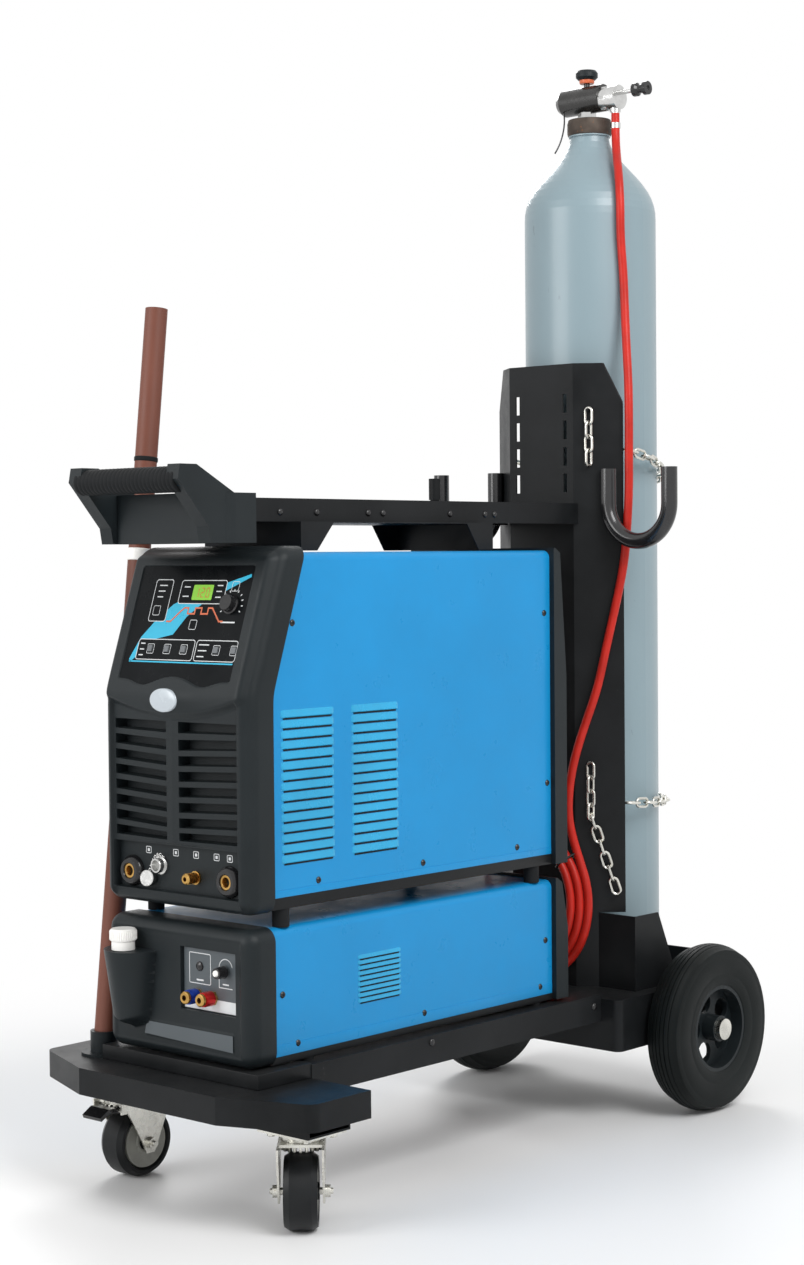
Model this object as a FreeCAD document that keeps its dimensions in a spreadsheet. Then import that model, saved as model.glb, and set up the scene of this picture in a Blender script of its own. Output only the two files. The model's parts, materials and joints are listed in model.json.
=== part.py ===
"""Inverter welder and water cooler on a four-wheel cart with a gas cylinder.

Millimetres. X is across the cart, -Y is the front with the controls, +Z is up.
The origin is on the floor, in the middle of the cart's length and width.
"""
import FreeCAD, Part
import math
import os
import re
import Sketcher
from FreeCAD import Placement, Rotation, Vector

# --- driving dimensions: alias, value -------------------------------------------------
SIZES = {
    # sheet metal and clearances
    "sheet": 3.0,
    "thin_sheet": 1.5,
    "running_gap": 0.3,
    "bore_gap": 0.05,
    # front deck
    "deck_top": "=caster_height + deck_rise",
    "deck_lip": 38.0,
    "deck_rise": 58.0,
    "rail_sink": 24.0,
    "rail_rise": 19.0,
    "rail_out": 21.0,
    "deck_front": -559.0,
    "deck_shoulder": -508.0,
    "deck_rear": -396.0,
    "deck_nose_half": 139.0,
    "deck_half": 271.0,
    "deck_corner": 20.0,
    # casters
    "caster_x": 183.0,
    "caster_y": -440.0,
    "caster_trail": 25.0,
    "caster_radius": 52.0,
    "caster_width": 46.0,
    "caster_height": "=2 * caster_radius + caster_over",
    "caster_over": 26.0,
    "caster_side_gap": 6.0,
    "caster_leg_sheet": 3.0,
    "caster_leg_reach": 37.0,
    "caster_leg_skirt": 16.0,
    "caster_head": 7.0,
    "caster_plate_length": 95.0,
    "caster_plate_width": 76.0,
    "caster_plate_sheet": 4.0,
    "caster_race": 28.0,
    "caster_race_depth": 9.0,
    "caster_pin": 6.0,
    "caster_axle": 5.0,
    "left_caster_yaw": 90.0,
    "right_caster_yaw": -48.0,
    "pedal_width": 40.0,
    # base frame
    "rail_outer": "=case_half + rail_out",
    "rail_flange": 45.0,
    "rail_bottom": "=deck_top - rail_sink",
    "rail_top": "=deck_top + rail_rise",
    "box_half": 195.0,
    "box_front": 264.0,
    "box_rear": "=gas_y + box_behind",
    "box_bottom": "=box_top - box_height",
    "box_top": "=deck_top + 4 * sheet",
    "box_height": 82.0,
    # rear wheels
    "wheel_y": "=gas_y - wheel_ahead",
    "wheel_x": 233.0,
    "wheel_radius": 135.0,
    "wheel_width": 60.0,
    "rim_radius": 70.0,
    "rim_width": 52.0,
    "hub_radius": 21.0,
    "axle_radius": 10.0,
    "collar_radius": 16.0,
    "cap_radius": 17.0,
    # cylinder tray
    "tray_half": 168.0,
    "tray_front": "=gas_y - gas_radius - tray_gap_front",
    "tray_rear": "=gas_y + gas_radius + tray_gap_rear",
    "tray_height": 121.0,
    "tray_gap_front": 3.5,
    "tray_gap_rear": 10.5,
    "tray_side_flat": 64.0,
    "tray_rear_lip": 35.0,
    # column
    "column_front": 322.0,
    "column_half": 66.0,
    "column_wing": 81.0,
    "column_fold": 38.5,
    "column_top": 1215.0,
    "wing_flat": 48.0,
    "wing_drop": 69.0,
    "slot_x": 49.0,
    "slot_width": 8.0,
    "slot_length": 30.0,
    "slot_pitch": 43.0,
    "slot_first": 1151.0,
    # top beam, saddle and handle
    "beam_half": 75.0,
    "beam_bottom": "=welder_top + beam_over",
    "beam_top": "=beam_bottom + beam_height",
    "beam_over": 43.0,
    "beam_height": 33.0,
    "beam_front": -500.0,
    "peg_y": 55.0,
    "peg_radius": 9.0,
    "peg_height": 37.0,
    "saddle_half": 98.0,
    "saddle_front": -343.0,
    "saddle_rear": 78.0,
    "saddle_bottom": "=welder_top + 2",
    "window_top_front": -276.0,
    "window_top_rear": 17.0,
    "window_foot_front": -311.0,
    "window_foot_rear": 45.0,
    "housing_half": 115.0,
    "housing_front": -522.0,
    "housing_rear": -447.0,
    "housing_bottom": "=beam_bottom - 30",
    "housing_top": "=beam_top + 5",
    "housing_corner": 38.0,
    "housing_wall": 3.5,
    "arm_width": 24.0,
    "arm_depth": 34.0,
    "grip_y": -570.0,
    "grip_z": "=beam_top + 22",
    "grip_radius": 18.0,
    "grip_core": 12.0,
    # cable hooks
    "hook_tube": 13.0,
    "hook_inner": 118.0,
    "hook_span": 120.0,
    "hook_top": 1043.0,
    "hook_turn": 986.0,
    # filler rod tube
    "tube_x": -185.0,
    "tube_y": -472.0,
    "tube_radius": 16.5,
    "tube_wall": 2.0,
    "tube_length": 1085.0,
    "tube_lean": 6.3,
    "socket_radius": 20.0,
    "socket_height": 34.0,
    "socket_flange": 33.0,
    "socket_floor": 6.0,
    # gas cylinder and its fittings
    "gas_y": "=column_front + sheet + gas_gap + gas_radius",
    "gas_gap": 23.5,
    "box_behind": 102.0,
    "wheel_ahead": 5.0,
    "gas_radius": 109.5,
    "gas_wall": 6.5,
    "gas_neck": 32.0,
    "gas_shoulder": 1463.0,
    "gas_vault": "=gas_shoulder - 16",
    "gas_collar_base": 1604.0,
    "gas_collar_top": 1632.0,
    "gas_collar_radius": 35.0,
    "valve_radius": 22.5,
    "valve_z": 1666.0,
    "valve_left": -59.0,
    "valve_right": 31.0,
    "spindle_top": 1700.0,
    "handwheel_radius": 18.5,
    "handwheel_top": 1715.0,
    "handwheel_x": -5.0,
    "regulator_radius": 20.0,
    "regulator_end": 63.0,
    "outlet_x": 54.0,
    "outlet_bottom": 1636.0,
    "outlet_radius": 6.5,
    "knob_spindle": 4.0,
    "knob_start": 93.0,
    "knob_length": 28.0,
    "knob_radius": 11.0,
    # chains
    "link_pitch": 27.0,
    "link_width": 18.0,
    "link_wire": 4.5,
    "link_gap": 0.25,
    "upper_slack": 45.0,
    "lower_slack": 12.0,
    "upper_chain_z": 1075.0,
    "lower_chain_z": 500.0,
    "eye_x": 91.0,
    "eye_gap": 10.9,
    "eye_out": "=(eye_x - column_half) * tan(column_fold) - eye_gap",
    "hook_along": 3.4,
    "hook_out": 6.6,
    "eye_rise": 65.0,
    # hose
    "hose_radius": 7.0,
    "coil_y": 292.0,
    "coil_z": 342.0,
    "coil_inner": 104.0,
    "coil_outer": 138.0,
    "coil_depth": 34.0,
    # the two units share one width and one length
    "case_half": 139.0,
    "case_front": -452.0,
    "case_rear": 165.0,
    "case_flange": 24.0,
    "bezel_over": 9.0,
    "case_gap": 0.5,
    "cover_corner": 12.0,
    "bezel_half": "=case_half + bezel_over",
    "bezel_depth": 47.0,
    "panel_margin": 26.0,
    "recess_margin": 20.0,
    "socket_margin": 30.0,
    "bezel_corner": 14.0,
    "bezel_wall": 3.0,
    "rear_depth": 30.0,
    "rear_slope": 14.0,
    "foot_radius": 12.0,
    "foot_x": "=case_half - foot_radius",
    "foot_front": -375.0,
    "foot_rear": 130.0,
    # welder
    "welder_base": "=cooler_top + foot_height",
    "foot_height": 26.0,
    "welder_height": 488.0,
    "upright_height": 294.0,
    "welder_top": "=welder_base + welder_height",
    "lean_start": "=welder_base + upright_height",
    "lean_depth": 65.0,
    "panel_start": "=lean_start + panel_rise",
    "panel_end": "=panel_start + panel_height",
    "panel_half": "=bezel_half - panel_margin",
    "panel_rise": 6.0,
    "panel_height": 178.0,
    "panel_sheet": 5.0,
    "encoder_x": "=panel_half - 40",
    "encoder_z": "=panel_start + 115",
    "encoder_radius": 12.0,
    "encoder_height": 13.0,
    "button_z": "=panel_start + 53",
    "button_side": 9.0,
    "button_height": 2.5,
    "button_travel": 0.8,
    "recess_bottom": "=welder_base + recess_rise",
    "recess_top": "=recess_bottom + recess_height",
    "recess_half": "=bezel_half - recess_margin",
    "recess_depth": 13.0,
    "recess_rise": 16.0,
    "recess_height": 68.0,
    "grille_gap": 8.0,
    "grille_pitch": 21.5,
    "grille_slot": 12.5,
    "grille_rib": 14.0,
    "intake_half": 110.0,
    "intake_rise": 12.0,
    "intake_height": 170.0,
    "socket_x": "=recess_half - socket_margin",
    "socket_z": "=recess_bottom + 24",
    "dinse_radius": 21.0,
    "dinse_bore": 6.5,
    "dinse_depth": 34.0,
    "fitting_x": 31.0,
    "fitting_radius": 9.0,
    "control_x": -39.0,
    "control_z": "=recess_bottom + 36",
    "control_radius": 13.0,
    "welder_fan_z": "=welder_base + 276",
    "welder_fan_radius": 75.0,
    "switch_x": 75.0,
    "switch_z": "=welder_base + 116",
    "inlet_x": -95.0,
    "inlet_z": "=welder_base + 166",
    # cooler
    "cooler_base": "=rail_top + cooler_rise",
    "cooler_rise": 5.0,
    "cooler_height": 186.0,
    "cooler_top": "=cooler_base + cooler_height",
    "filler_x": -87.0,
    "filler_radius": 44.0,
    "filler_foot_radius": 30.0,
    "filler_bottom": "=cooler_base + 42",
    "filler_top": "=cooler_base + 144",
    "filler_y": -519.0,
    "cap_height": 30.0,
    "filler_cap_radius": 18.5,
    "plate_left": 8.0,
    "plate_right": 116.0,
    "plate_bottom": "=cooler_base + 70",
    "plate_top": "=cooler_base + 156",
    "coupling_z": "=cooler_base + 90",
    "blue_coupling_x": 36.0,
    "red_coupling_x": 66.0,
    "coupling_radius": 10.0,
    "coupling_reach": 24.0,
    "fuse_x": 92.0,
    "fuse_z": "=cooler_base + 129",
    "fuse_radius": 9.0,
    "cooler_fan_z": "=cooler_base + 93",
    "cooler_fan_radius": 68.0,
    "tank_margin": 19.0,
    "tank_inner": -10.0,
    "tank_front": "=case_front + 22",
    "tank_rear": -190.0,
    "tank_wall": 3.0,
    "radiator_margin": 14.0,
    "radiator_end": 13.0,
    "radiator_front": 20.0,
    "radiator_rear": 62.0,
    "radiator_pitch": 13.0,
    "radiator_gap": 9.0,
}

doc = FreeCAD.newDocument("welder_cart")
dims = doc.addObject("Spreadsheet::Sheet", "dims")
for row, alias in enumerate(SIZES, start=1):
    dims.setAlias(f"A{row}", alias)
for row, number in enumerate(SIZES.values(), start=1):
    dims.set(f"A{row}", str(number))
doc.recompute()

parts = {}


def size(alias):
    """The number that the sheet holds under this alias."""
    return float(dims.get(alias))


def tie(text):
    """An expression with each alias written as a cell of the sheet."""
    def cell(word):
        return f"dims.{word.group()}" if word.group() in SIZES else word.group()
    return re.sub(r"[a-z]+(?:_[a-z]+)*", cell, str(text))


def put(piece, x, y, z, rotation=Rotation()):
    """Place a piece at expressions of the sheet, turned by a fixed rotation."""
    piece.Placement = Placement(Vector(), rotation)
    for axis, text in zip("xyz", (x, y, z)):
        piece.setExpression(f"Placement.Base.{axis}", tie(text))
    return piece


def box(low, high):
    """A block between two corners, each given as three expressions."""
    piece = doc.addObject("Part::Box", "block")
    for side, start, end in zip(("Length", "Width", "Height"), low, high):
        piece.setExpression(side, tie(f"({end}) - ({start})"))
    return put(piece, *low)


TURN = {
    "+X": Rotation(Vector(0, 1, 0), 90),
    "-X": Rotation(Vector(0, 1, 0), -90),
    "+Y": Rotation(Vector(1, 0, 0), -90),
    "-Y": Rotation(Vector(1, 0, 0), 90),
    "+Z": Rotation(),
    "-Z": Rotation(Vector(1, 0, 0), 180),
}


def rod(direction, start, radius, length):
    """A round bar from a start point along one direction."""
    piece = doc.addObject("Part::Cylinder", "bar")
    piece.setExpression("Radius", tie(radius))
    piece.setExpression("Height", tie(length))
    return put(piece, *start, TURN[direction])


def cone(direction, start, radius, end_radius, length):
    piece = doc.addObject("Part::Cone", "taper")
    piece.setExpression("Radius1", tie(radius))
    piece.setExpression("Radius2", tie(end_radius))
    piece.setExpression("Height", tie(length))
    return put(piece, *start, TURN[direction])


def cut(base, *tools):
    """The base without its tools."""
    for tool in tools:
        piece = doc.addObject("Part::Cut", "cut")
        piece.Base = base
        piece.Tool = tool
        base = piece
    return base


def fuse(*pieces):
    piece = doc.addObject("Part::MultiFuse", "joined")
    piece.Shapes = list(pieces)
    return piece


def group(*pieces):
    """Separate solids that share one node."""
    piece = doc.addObject("Part::Compound", "set_of")
    piece.Links = list(pieces)
    return piece


def outline(body, plane, points, offset="0"):
    """A closed sketch through points, every coordinate bound to the sheet."""
    sketch = body.newObject("Sketcher::SketchObject", "outline")
    origin_plane = [f for f in body.Origin.OriginFeatures if f.Role == plane][0]
    sketch.AttachmentSupport = (origin_plane, "")
    sketch.MapMode = "FlatFace"
    sketch.setExpression("AttachmentOffset.Base.z", tie(offset))
    count = len(points)
    ring = [Vector(math.cos(2 * math.pi * i / count), math.sin(2 * math.pi * i / count), 0)
            for i in range(count)]
    for i in range(count):
        sketch.addGeometry(Part.LineSegment(ring[i], ring[(i + 1) % count]))
    for i in range(count):
        sketch.addConstraint(Sketcher.Constraint("Coincident", i, 2, (i + 1) % count, 1))
    for i, (across, up) in enumerate(points):
        for kind, text in (("DistanceX", across), ("DistanceY", up)):
            number = sketch.addConstraint(Sketcher.Constraint(kind, -1, 1, i, 1, 1.0))
            sketch.setExpression(f"Constraints[{number}]", tie(text))
    return sketch


def prism(plane, points, start, length, rounded=None):
    """A body padded from an outline; `rounded` is (radius, test of an edge's middle)."""
    body = doc.addObject("PartDesign::Body", "prism")
    pad = body.newObject("PartDesign::Pad", "pad")
    pad.Profile = outline(body, plane, points, start)
    pad.setExpression("Length", tie(length))
    if rounded:
        radius, test = rounded
        doc.recompute()
        edges = [f"Edge{i}" for i, edge in enumerate(pad.Shape.Edges, start=1)
                 if test(edge.CenterOfMass, edge.tangentAt(edge.FirstParameter))]
        corner = body.newObject("PartDesign::Fillet", "corner")
        corner.Base = (pad, edges)
        corner.setExpression("Radius", tie(radius))
        body.Tip = corner
    return body


def turned(direction, start, points):
    """A body of revolution: (radius, height) points about one direction from start."""
    body = doc.addObject("PartDesign::Body", "turned")
    sketch = outline(body, "XZ_Plane", points)
    turn = body.newObject("PartDesign::Revolution", "turn")
    turn.Profile = sketch
    turn.ReferenceAxis = (sketch, ["V_Axis"])
    turn.Angle = 360
    return put(body, *start, TURN[direction])


def made(shape):
    """A feature that holds a shape worked out from the sheet's numbers."""
    piece = doc.addObject("Part::Feature", "shape")
    piece.Shape = shape
    return piece


def keep(label, piece):
    """Name a finished sub-part; its label names its file."""
    piece.Label = label
    parts[label] = piece
    return piece


# --- front deck, base rails, axle box, tray -------------------------------------------
def deck_outline(inset):
    """Corners of the deck seen from above, drawn in by `inset`."""
    nose = f"(deck_nose_half - {inset} / 2)"
    side = f"(deck_half - {inset})"
    front = f"(deck_front + {inset})"
    shoulder = f"(deck_shoulder + {inset} / 2)"
    rear = f"(deck_rear - {inset})"
    return [(f"-{nose}", front), (nose, front), (side, shoulder), (side, rear),
            (f"-{side}", rear), (f"-{side}", shoulder)]


def front_deck():
    def shoulder_edge(middle, along):
        return abs(along.z) > 0.9 and abs(middle.x) > size("deck_nose_half") + 40 and \
            middle.y < size("deck_rear") - 40
    pan = prism("XY_Plane", deck_outline("0"), "deck_top - deck_lip", "deck_lip",
                ("deck_corner", shoulder_edge))
    hollow = prism("XY_Plane", deck_outline("sheet"), "deck_top - deck_lip - 1",
                   "deck_lip - sheet + 1", ("deck_corner - sheet", shoulder_edge))
    reach = "caster_x + caster_plate_width / 2 + 14"
    near = "caster_y - caster_plate_width / 2 - 3"
    far = "caster_y + caster_plate_width / 2 + 3"
    web = box((f"-({reach})", near, "caster_height"), (reach, far, "caster_height + sheet"))
    front_leg = box((f"-({reach})", near, "caster_height"),
                    (reach, f"{near} + sheet", "deck_top - sheet"))
    rear_leg = box((f"-({reach})", f"{far} - sheet", "caster_height"),
                   (reach, far, "deck_top - sheet"))
    keep("front_deck", fuse(cut(pan, hollow), web, front_leg, rear_leg))


def base_rails():
    def rail(side):
        web = box((f"{side} * rail_outer - ({side} + 1) / 2 * sheet", "deck_rear", "rail_bottom"),
                  (f"{side} * rail_outer - ({side} - 1) / 2 * sheet", "box_front", "rail_top"))
        inner = f"{side} * (rail_outer - rail_flange)"
        left = f"min({side} * rail_outer; {inner})"
        right = f"max({side} * rail_outer; {inner})"
        top = box((left, "deck_rear", "rail_top - sheet"), (right, "box_front", "rail_top"))
        foot = box((left, "deck_rear", "rail_bottom"),
                   (right, "box_front", "rail_bottom + sheet"))
        return fuse(web, top, foot)
    keep("base_rails", group(rail(-1), rail(1)))


def axle_box():
    def upright(middle, along):
        return abs(along.z) > 0.9 and middle.y < size("box_front") + 5
    def slab(inset, rear, low, high, corner):
        half = f"(box_half - {inset})"
        front = f"box_front + {inset}"
        points = [(f"-{half}", front), (half, front), (half, rear), (f"-{half}", rear)]
        return prism("XY_Plane", points, low, f"{high} - ({low})", (corner, upright))
    shell = slab("0", "box_rear", "box_bottom", "box_top", "12")
    hollow = slab("sheet", "box_rear - sheet", "box_bottom - 1", "box_top - sheet", "9")
    bore = rod("+X", ("-box_half - 1", "wheel_y", "wheel_radius"), "axle_radius",
               "2 * box_half + 2")
    keep("axle_box", cut(shell, hollow, bore))


def cylinder_tray():
    floor_z = "box_top"
    floor = box(("-tray_half", "tray_front", floor_z),
                ("tray_half", "tray_rear", "box_top + sheet"))
    front = box(("-tray_half", "tray_front", floor_z),
                ("tray_half", "tray_front + sheet", "box_top + tray_height"))
    lip = box(("-tray_half", "tray_rear - sheet", floor_z),
              ("tray_half", "tray_rear", "box_top + tray_rear_lip"))
    side = [("tray_front", floor_z), ("tray_rear", floor_z),
            ("tray_rear", "box_top + tray_rear_lip"),
            ("tray_front + tray_side_flat + 40", "box_top + tray_rear_lip"),
            ("tray_front + tray_side_flat", "box_top + tray_height"),
            ("tray_front", "box_top + tray_height")]
    left = prism("YZ_Plane", side, "-tray_half", "sheet")
    right = prism("YZ_Plane", side, "tray_half - sheet", "sheet")
    keep("cylinder_tray", fuse(floor, front, lip, left, right))


# --- column, beam, saddle, handle -----------------------------------------------------
def column():
    tip_x = "column_half + column_wing * cos(column_fold)"
    tip_y = "column_front + column_wing * sin(column_fold)"
    back_x = f"{tip_x} - sheet * sin(column_fold)"
    back_y = f"{tip_y} + sheet * cos(column_fold)"
    inner = "column_half - sheet * tan(column_fold / 2)"
    section = [("-column_half", "column_front"), ("column_half", "column_front"),
               (tip_x, tip_y), (back_x, back_y), (inner, "column_front + sheet"),
               (f"-({inner})", "column_front + sheet"), (f"-({back_x})", back_y),
               (f"-({tip_x})", tip_y)]
    post = prism("XY_Plane", section, "box_top", "column_top - box_top")
    slots = []
    for side in (-1, 1):
        for row in range(4):
            x = f"{side} * slot_x"
            z = f"slot_first - {row} * slot_pitch"
            slots.append(box((f"{x} - slot_width / 2", "column_front - 1",
                              f"{z} - slot_length / 2"),
                             (f"{x} + slot_width / 2", "column_front + sheet + 1",
                              f"{z} + slot_length / 2")))
    corners = []
    for side in (-1, 1):
        start = f"{side} * (column_half + wing_flat * cos(column_fold))"
        end = f"{side} * ({tip_x} + 0.5)"
        corners.append(prism("XZ_Plane", [(start, "column_top"), (end, "column_top - wing_drop"),
                                          (end, "column_top + 1"), (start, "column_top + 1")],
                             "-column_front - column_wing", "column_wing + 10"))
    notches = []
    for side in (-1, 1):
        near = f"{side} * column_half"
        far = f"{side} * (column_half + column_wing)"
        notches.append(box((f"min({near}; {far})", "tray_front", "box_top - 1"),
                           (f"max({near}; {far})", "column_front + column_wing + 10",
                            "box_top + tray_height + 1")))
    eyes = []
    for chain_z in ("upper_chain_z", "lower_chain_z"):
        eye_z = f"{chain_z} + eye_rise - link_wire / 2"
        length = "(eye_x - column_half) * tan(column_fold) - eye_out + 8"
        eyes.append(rod("-Y", ("eye_x", f"column_front + eye_out - 6 + {length}", eye_z),
                        "2", length))
    peg_z = "coil_z + coil_inner - 6.2"
    peg = rod("-Y", ("0", "column_front + sheet", peg_z), "6",
              "column_front + sheet - coil_y + coil_depth / 2 + 6")
    stop = rod("-Y", ("0", "coil_y - coil_depth / 2 - 2", peg_z), "9", "4")
    keep("column", fuse(cut(post, *slots, *corners, *notches), peg, stop, *eyes))


def top_beam():
    outer = box(("-beam_half", "beam_front", "beam_bottom"),
                ("beam_half", "column_front", "beam_top"))
    hollow = box(("-beam_half + sheet", "beam_front - 1", "beam_bottom - 1"),
                 ("beam_half - sheet", "column_front + 1", "beam_top - sheet"))
    seat = rod("+Z", ("0", "peg_y", "beam_top - sheet"), "peg_radius - 2", "sheet + 5")
    peg = rod("+Z", ("0", "peg_y", "beam_top + 4"), "peg_radius", "peg_height - 4")
    keep("top_beam", fuse(cut(outer, hollow), seat, peg))


def saddle_pan():
    outer = box(("-saddle_half", "saddle_front", "saddle_bottom"),
                ("saddle_half", "saddle_rear", "beam_bottom"))
    hollow = box(("-saddle_half + thin_sheet", "saddle_front + thin_sheet", "saddle_bottom - 1"),
                 ("saddle_half - thin_sheet", "saddle_rear - thin_sheet",
                  "beam_bottom - thin_sheet"))
    window = prism("YZ_Plane", [("window_foot_front", "saddle_bottom - 1"),
                                ("window_foot_rear", "saddle_bottom - 1"),
                                ("window_top_rear", "beam_bottom - thin_sheet"),
                                ("window_top_front", "beam_bottom - thin_sheet")],
                   "-saddle_half - 1", "2 * saddle_half + 2")
    keep("saddle_pan", cut(outer, hollow, window))


def handle():
    def upright(middle, along):
        return abs(along.z) > 0.9 and middle.y < size("housing_front") + 10
    def slab(inset, low, high, corner):
        half = f"(housing_half - {inset})"
        front = f"housing_front + {inset}"
        rear = f"housing_rear - {inset}"
        points = [(f"-{half}", front), (half, front), (half, rear), (f"-{half}", rear)]
        return prism("XY_Plane", points, low, f"{high} - ({low})", (corner, upright))
    shell = slab("0", "housing_bottom", "housing_top", "housing_corner")
    hollow = slab("housing_wall", "housing_bottom - 1", "housing_top - housing_wall",
                  "housing_corner - housing_wall")
    passage = box(("-beam_half", "housing_rear - housing_wall - 1", "beam_bottom"),
                  ("beam_half", "housing_rear + 1", "beam_top"))
    floor = "housing_bottom"
    arm_front = "grip_y - arm_depth / 2"
    arm = [("housing_front - 6", floor), ("housing_front + arm_depth - 6", floor),
           ("housing_front + arm_depth + 4", "housing_top"),
           ("grip_y + arm_depth / 2", "grip_z + grip_radius + 2"),
           (f"{arm_front} + 4", "grip_z + grip_radius + 2"), (arm_front, "grip_z"),
           ("housing_front - 10", "housing_bottom + 22")]
    arms = [prism("YZ_Plane", arm, "-housing_half + 4", "arm_width"),
            prism("YZ_Plane", arm, "housing_half - arm_width - 4", "arm_width")]
    block = cut(fuse(shell, *arms), hollow, passage)
    ear = "housing_half - arm_width - 4"
    bore = rod("+X", (f"-({ear}) - 14", "grip_y", "grip_z"), "grip_core", f"2 * ({ear}) + 28")
    keep("handle_housing", cut(block, bore))
    body = turned("+X", (f"-({ear}) - 14", "grip_y", "grip_z"),
                  [("0", "0"), ("grip_core", "0"), ("grip_core", "14"), ("grip_radius", "14"),
                   ("grip_radius", f"14 + 2 * ({ear})"), ("grip_core", f"14 + 2 * ({ear})"),
                   ("grip_core", f"28 + 2 * ({ear})"), ("0", f"28 + 2 * ({ear})")])
    keep("handle_grip", body)


def cable_hooks():
    """Two J-shaped hooks of round tube, seated on the column's wings."""
    radius = size("hook_tube")
    half = size("hook_span") / 2
    fold = math.radians(size("column_fold"))
    y = size("column_front") + (size("hook_inner") - size("column_half")) * math.tan(fold)
    y -= radius / math.cos(fold)
    hooks = []
    for side in (-1, 1):
        inner = Vector(side * size("hook_inner"), y, size("hook_top"))
        inner_low = Vector(inner.x, y, size("hook_turn"))
        middle = Vector(inner.x + side * half, y, inner_low.z - half)
        outer_low = Vector(inner.x + side * 2 * half, y, inner_low.z)
        outer = Vector(outer_low.x, y, inner.z)
        path = Part.Wire([Part.LineSegment(inner, inner_low).toShape(),
                          Part.Arc(inner_low, middle, outer_low).toShape(),
                          Part.LineSegment(outer_low, outer).toShape()])
        ring = Part.Wire(Part.makeCircle(radius, inner, Vector(0, 0, -1)))
        hooks.append(path.makePipeShell([ring], True, True))
    keep("cable_hooks", made(Part.makeCompound(hooks)))


# --- filler rod tube ------------------------------------------------------------------
def rod_tube():
    lean = Rotation(Vector(1, 0, 0), -size("tube_lean"))
    socket = fuse(rod("+Z", ("0", "0", "0"), "socket_flange", "4"),
                  rod("+Z", ("0", "0", "0"), "socket_radius", "socket_height"))
    tilted = turned("+Z", ("0", "0", "socket_floor"),
                    [("0", "0"), ("tube_radius + bore_gap", "0"), ("tube_radius + bore_gap", "60"),
                     ("0", "60")])
    tilted.Placement.Rotation = lean
    holder = cut(socket, tilted)
    keep("rod_tube_socket", put(holder, "tube_x", "tube_y", "deck_top"))
    tube = turned("+Z", ("0", "0", "0"),
                  [("0", "0"), ("tube_radius", "0"), ("tube_radius", "tube_length"),
                   ("tube_radius - tube_wall", "tube_length"),
                   ("tube_radius - tube_wall", "4"), ("0", "4")])
    put(tube, "tube_x", "tube_y", "deck_top + socket_floor", lean)
    keep("rod_tube", tube)


# --- rear wheels ----------------------------------------------------------------------
def rear_axle():
    shaft = rod("+X", ("-wheel_x - rim_width / 2 - 8", "wheel_y", "wheel_radius"),
                "axle_radius", "2 * wheel_x + rim_width + 16")
    rings = []
    for side, direction in ((-1, "-X"), (1, "+X")):
        inner = rod(direction, (f"{side} * box_half", "wheel_y", "wheel_radius"),
                    "collar_radius", "wheel_x - rim_width / 2 - box_half - running_gap")
        cap_x = f"{side} * (wheel_x + rim_width / 2 + running_gap)"
        outer = rod(direction, (cap_x, "wheel_y", "wheel_radius"), "cap_radius", "9")
        rings.extend((inner, outer))
    keep("rear_axle", fuse(shaft, *rings))


def rear_wheel(name, side):
    direction = "+X" if side > 0 else "-X"
    inner_face = f"{side} * (wheel_x - wheel_width / 2)"
    tyre = turned(direction, (inner_face, "wheel_y", "wheel_radius"),
                  [("rim_radius", "5"), ("rim_radius + 14", "0"), ("wheel_radius - 26", "0"),
                   ("wheel_radius - 7", "8"), ("wheel_radius", "18"),
                   ("wheel_radius", "wheel_width - 18"),
                   ("wheel_radius - 7", "wheel_width - 8"),
                   ("wheel_radius - 26", "wheel_width"), ("rim_radius + 14", "wheel_width"),
                   ("rim_radius", "wheel_width - 5")])
    keep(f"{name}_rear_tyre", tyre)
    rim_face = f"{side} * (wheel_x - rim_width / 2)"
    bore = "axle_radius + bore_gap"
    web = "rim_width / 2 - 5"
    rim = turned(direction, (rim_face, "wheel_y", "wheel_radius"),
                 [(bore, "0"), ("hub_radius", "0"), ("hub_radius", web),
                  ("rim_radius - 6", web), ("rim_radius - 6", "1"), ("rim_radius", "1"),
                  ("rim_radius", "rim_width - 1"), ("rim_radius - 6", "rim_width - 1"),
                  ("rim_radius - 6", f"{web} + 8"), ("hub_radius", f"{web} + 8"),
                  ("hub_radius", "rim_width"), (bore, "rim_width")])
    windows = []
    spokes = 5
    middle = (size("hub_radius") + size("rim_radius") - 6) / 2
    reach = (size("rim_radius") - 6 - size("hub_radius")) / 2 - 4
    for i in range(spokes):
        angle = 360 * (i + 0.5) / spokes
        hole = rod(direction, (f"{side} * (wheel_x - rim_width)",
                               f"wheel_y + {middle * math.cos(math.radians(angle))}",
                               f"wheel_radius + {middle * math.sin(math.radians(angle))}"),
                   str(reach), "2 * rim_width")
        windows.append(hole)
    keep(f"{name}_rear_rim", cut(rim, *windows))


# --- casters --------------------------------------------------------------------------
def caster_frame(side):
    """Where a caster's swivel stands on the floor and which way it trails."""
    yaw = size("right_caster_yaw" if side > 0 else "left_caster_yaw")
    return (f"{side} * caster_x", "caster_y", "0", Rotation(Vector(0, 0, 1), yaw))


def caster_plates():
    def plate(side):
        low = "caster_height - caster_plate_sheet"
        x = f"{side} * caster_x"
        sheet = box((f"{x} - caster_plate_length / 2", "caster_y - caster_plate_width / 2", low),
                    (f"{x} + caster_plate_length / 2", "caster_y + caster_plate_width / 2",
                     "caster_height"))
        race = rod("-Z", (x, "caster_y", low), "caster_race", "caster_race_depth")
        pin = rod("-Z", (x, "caster_y", low), "caster_pin", "caster_race_depth + 8")
        head = rod("-Z", (x, "caster_y", f"{low} - caster_race_depth - 5"),
                   "caster_pin + 4", "3")
        return fuse(sheet, race, pin, head)
    keep("caster_plates", group(plate(-1), plate(1)))


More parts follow.
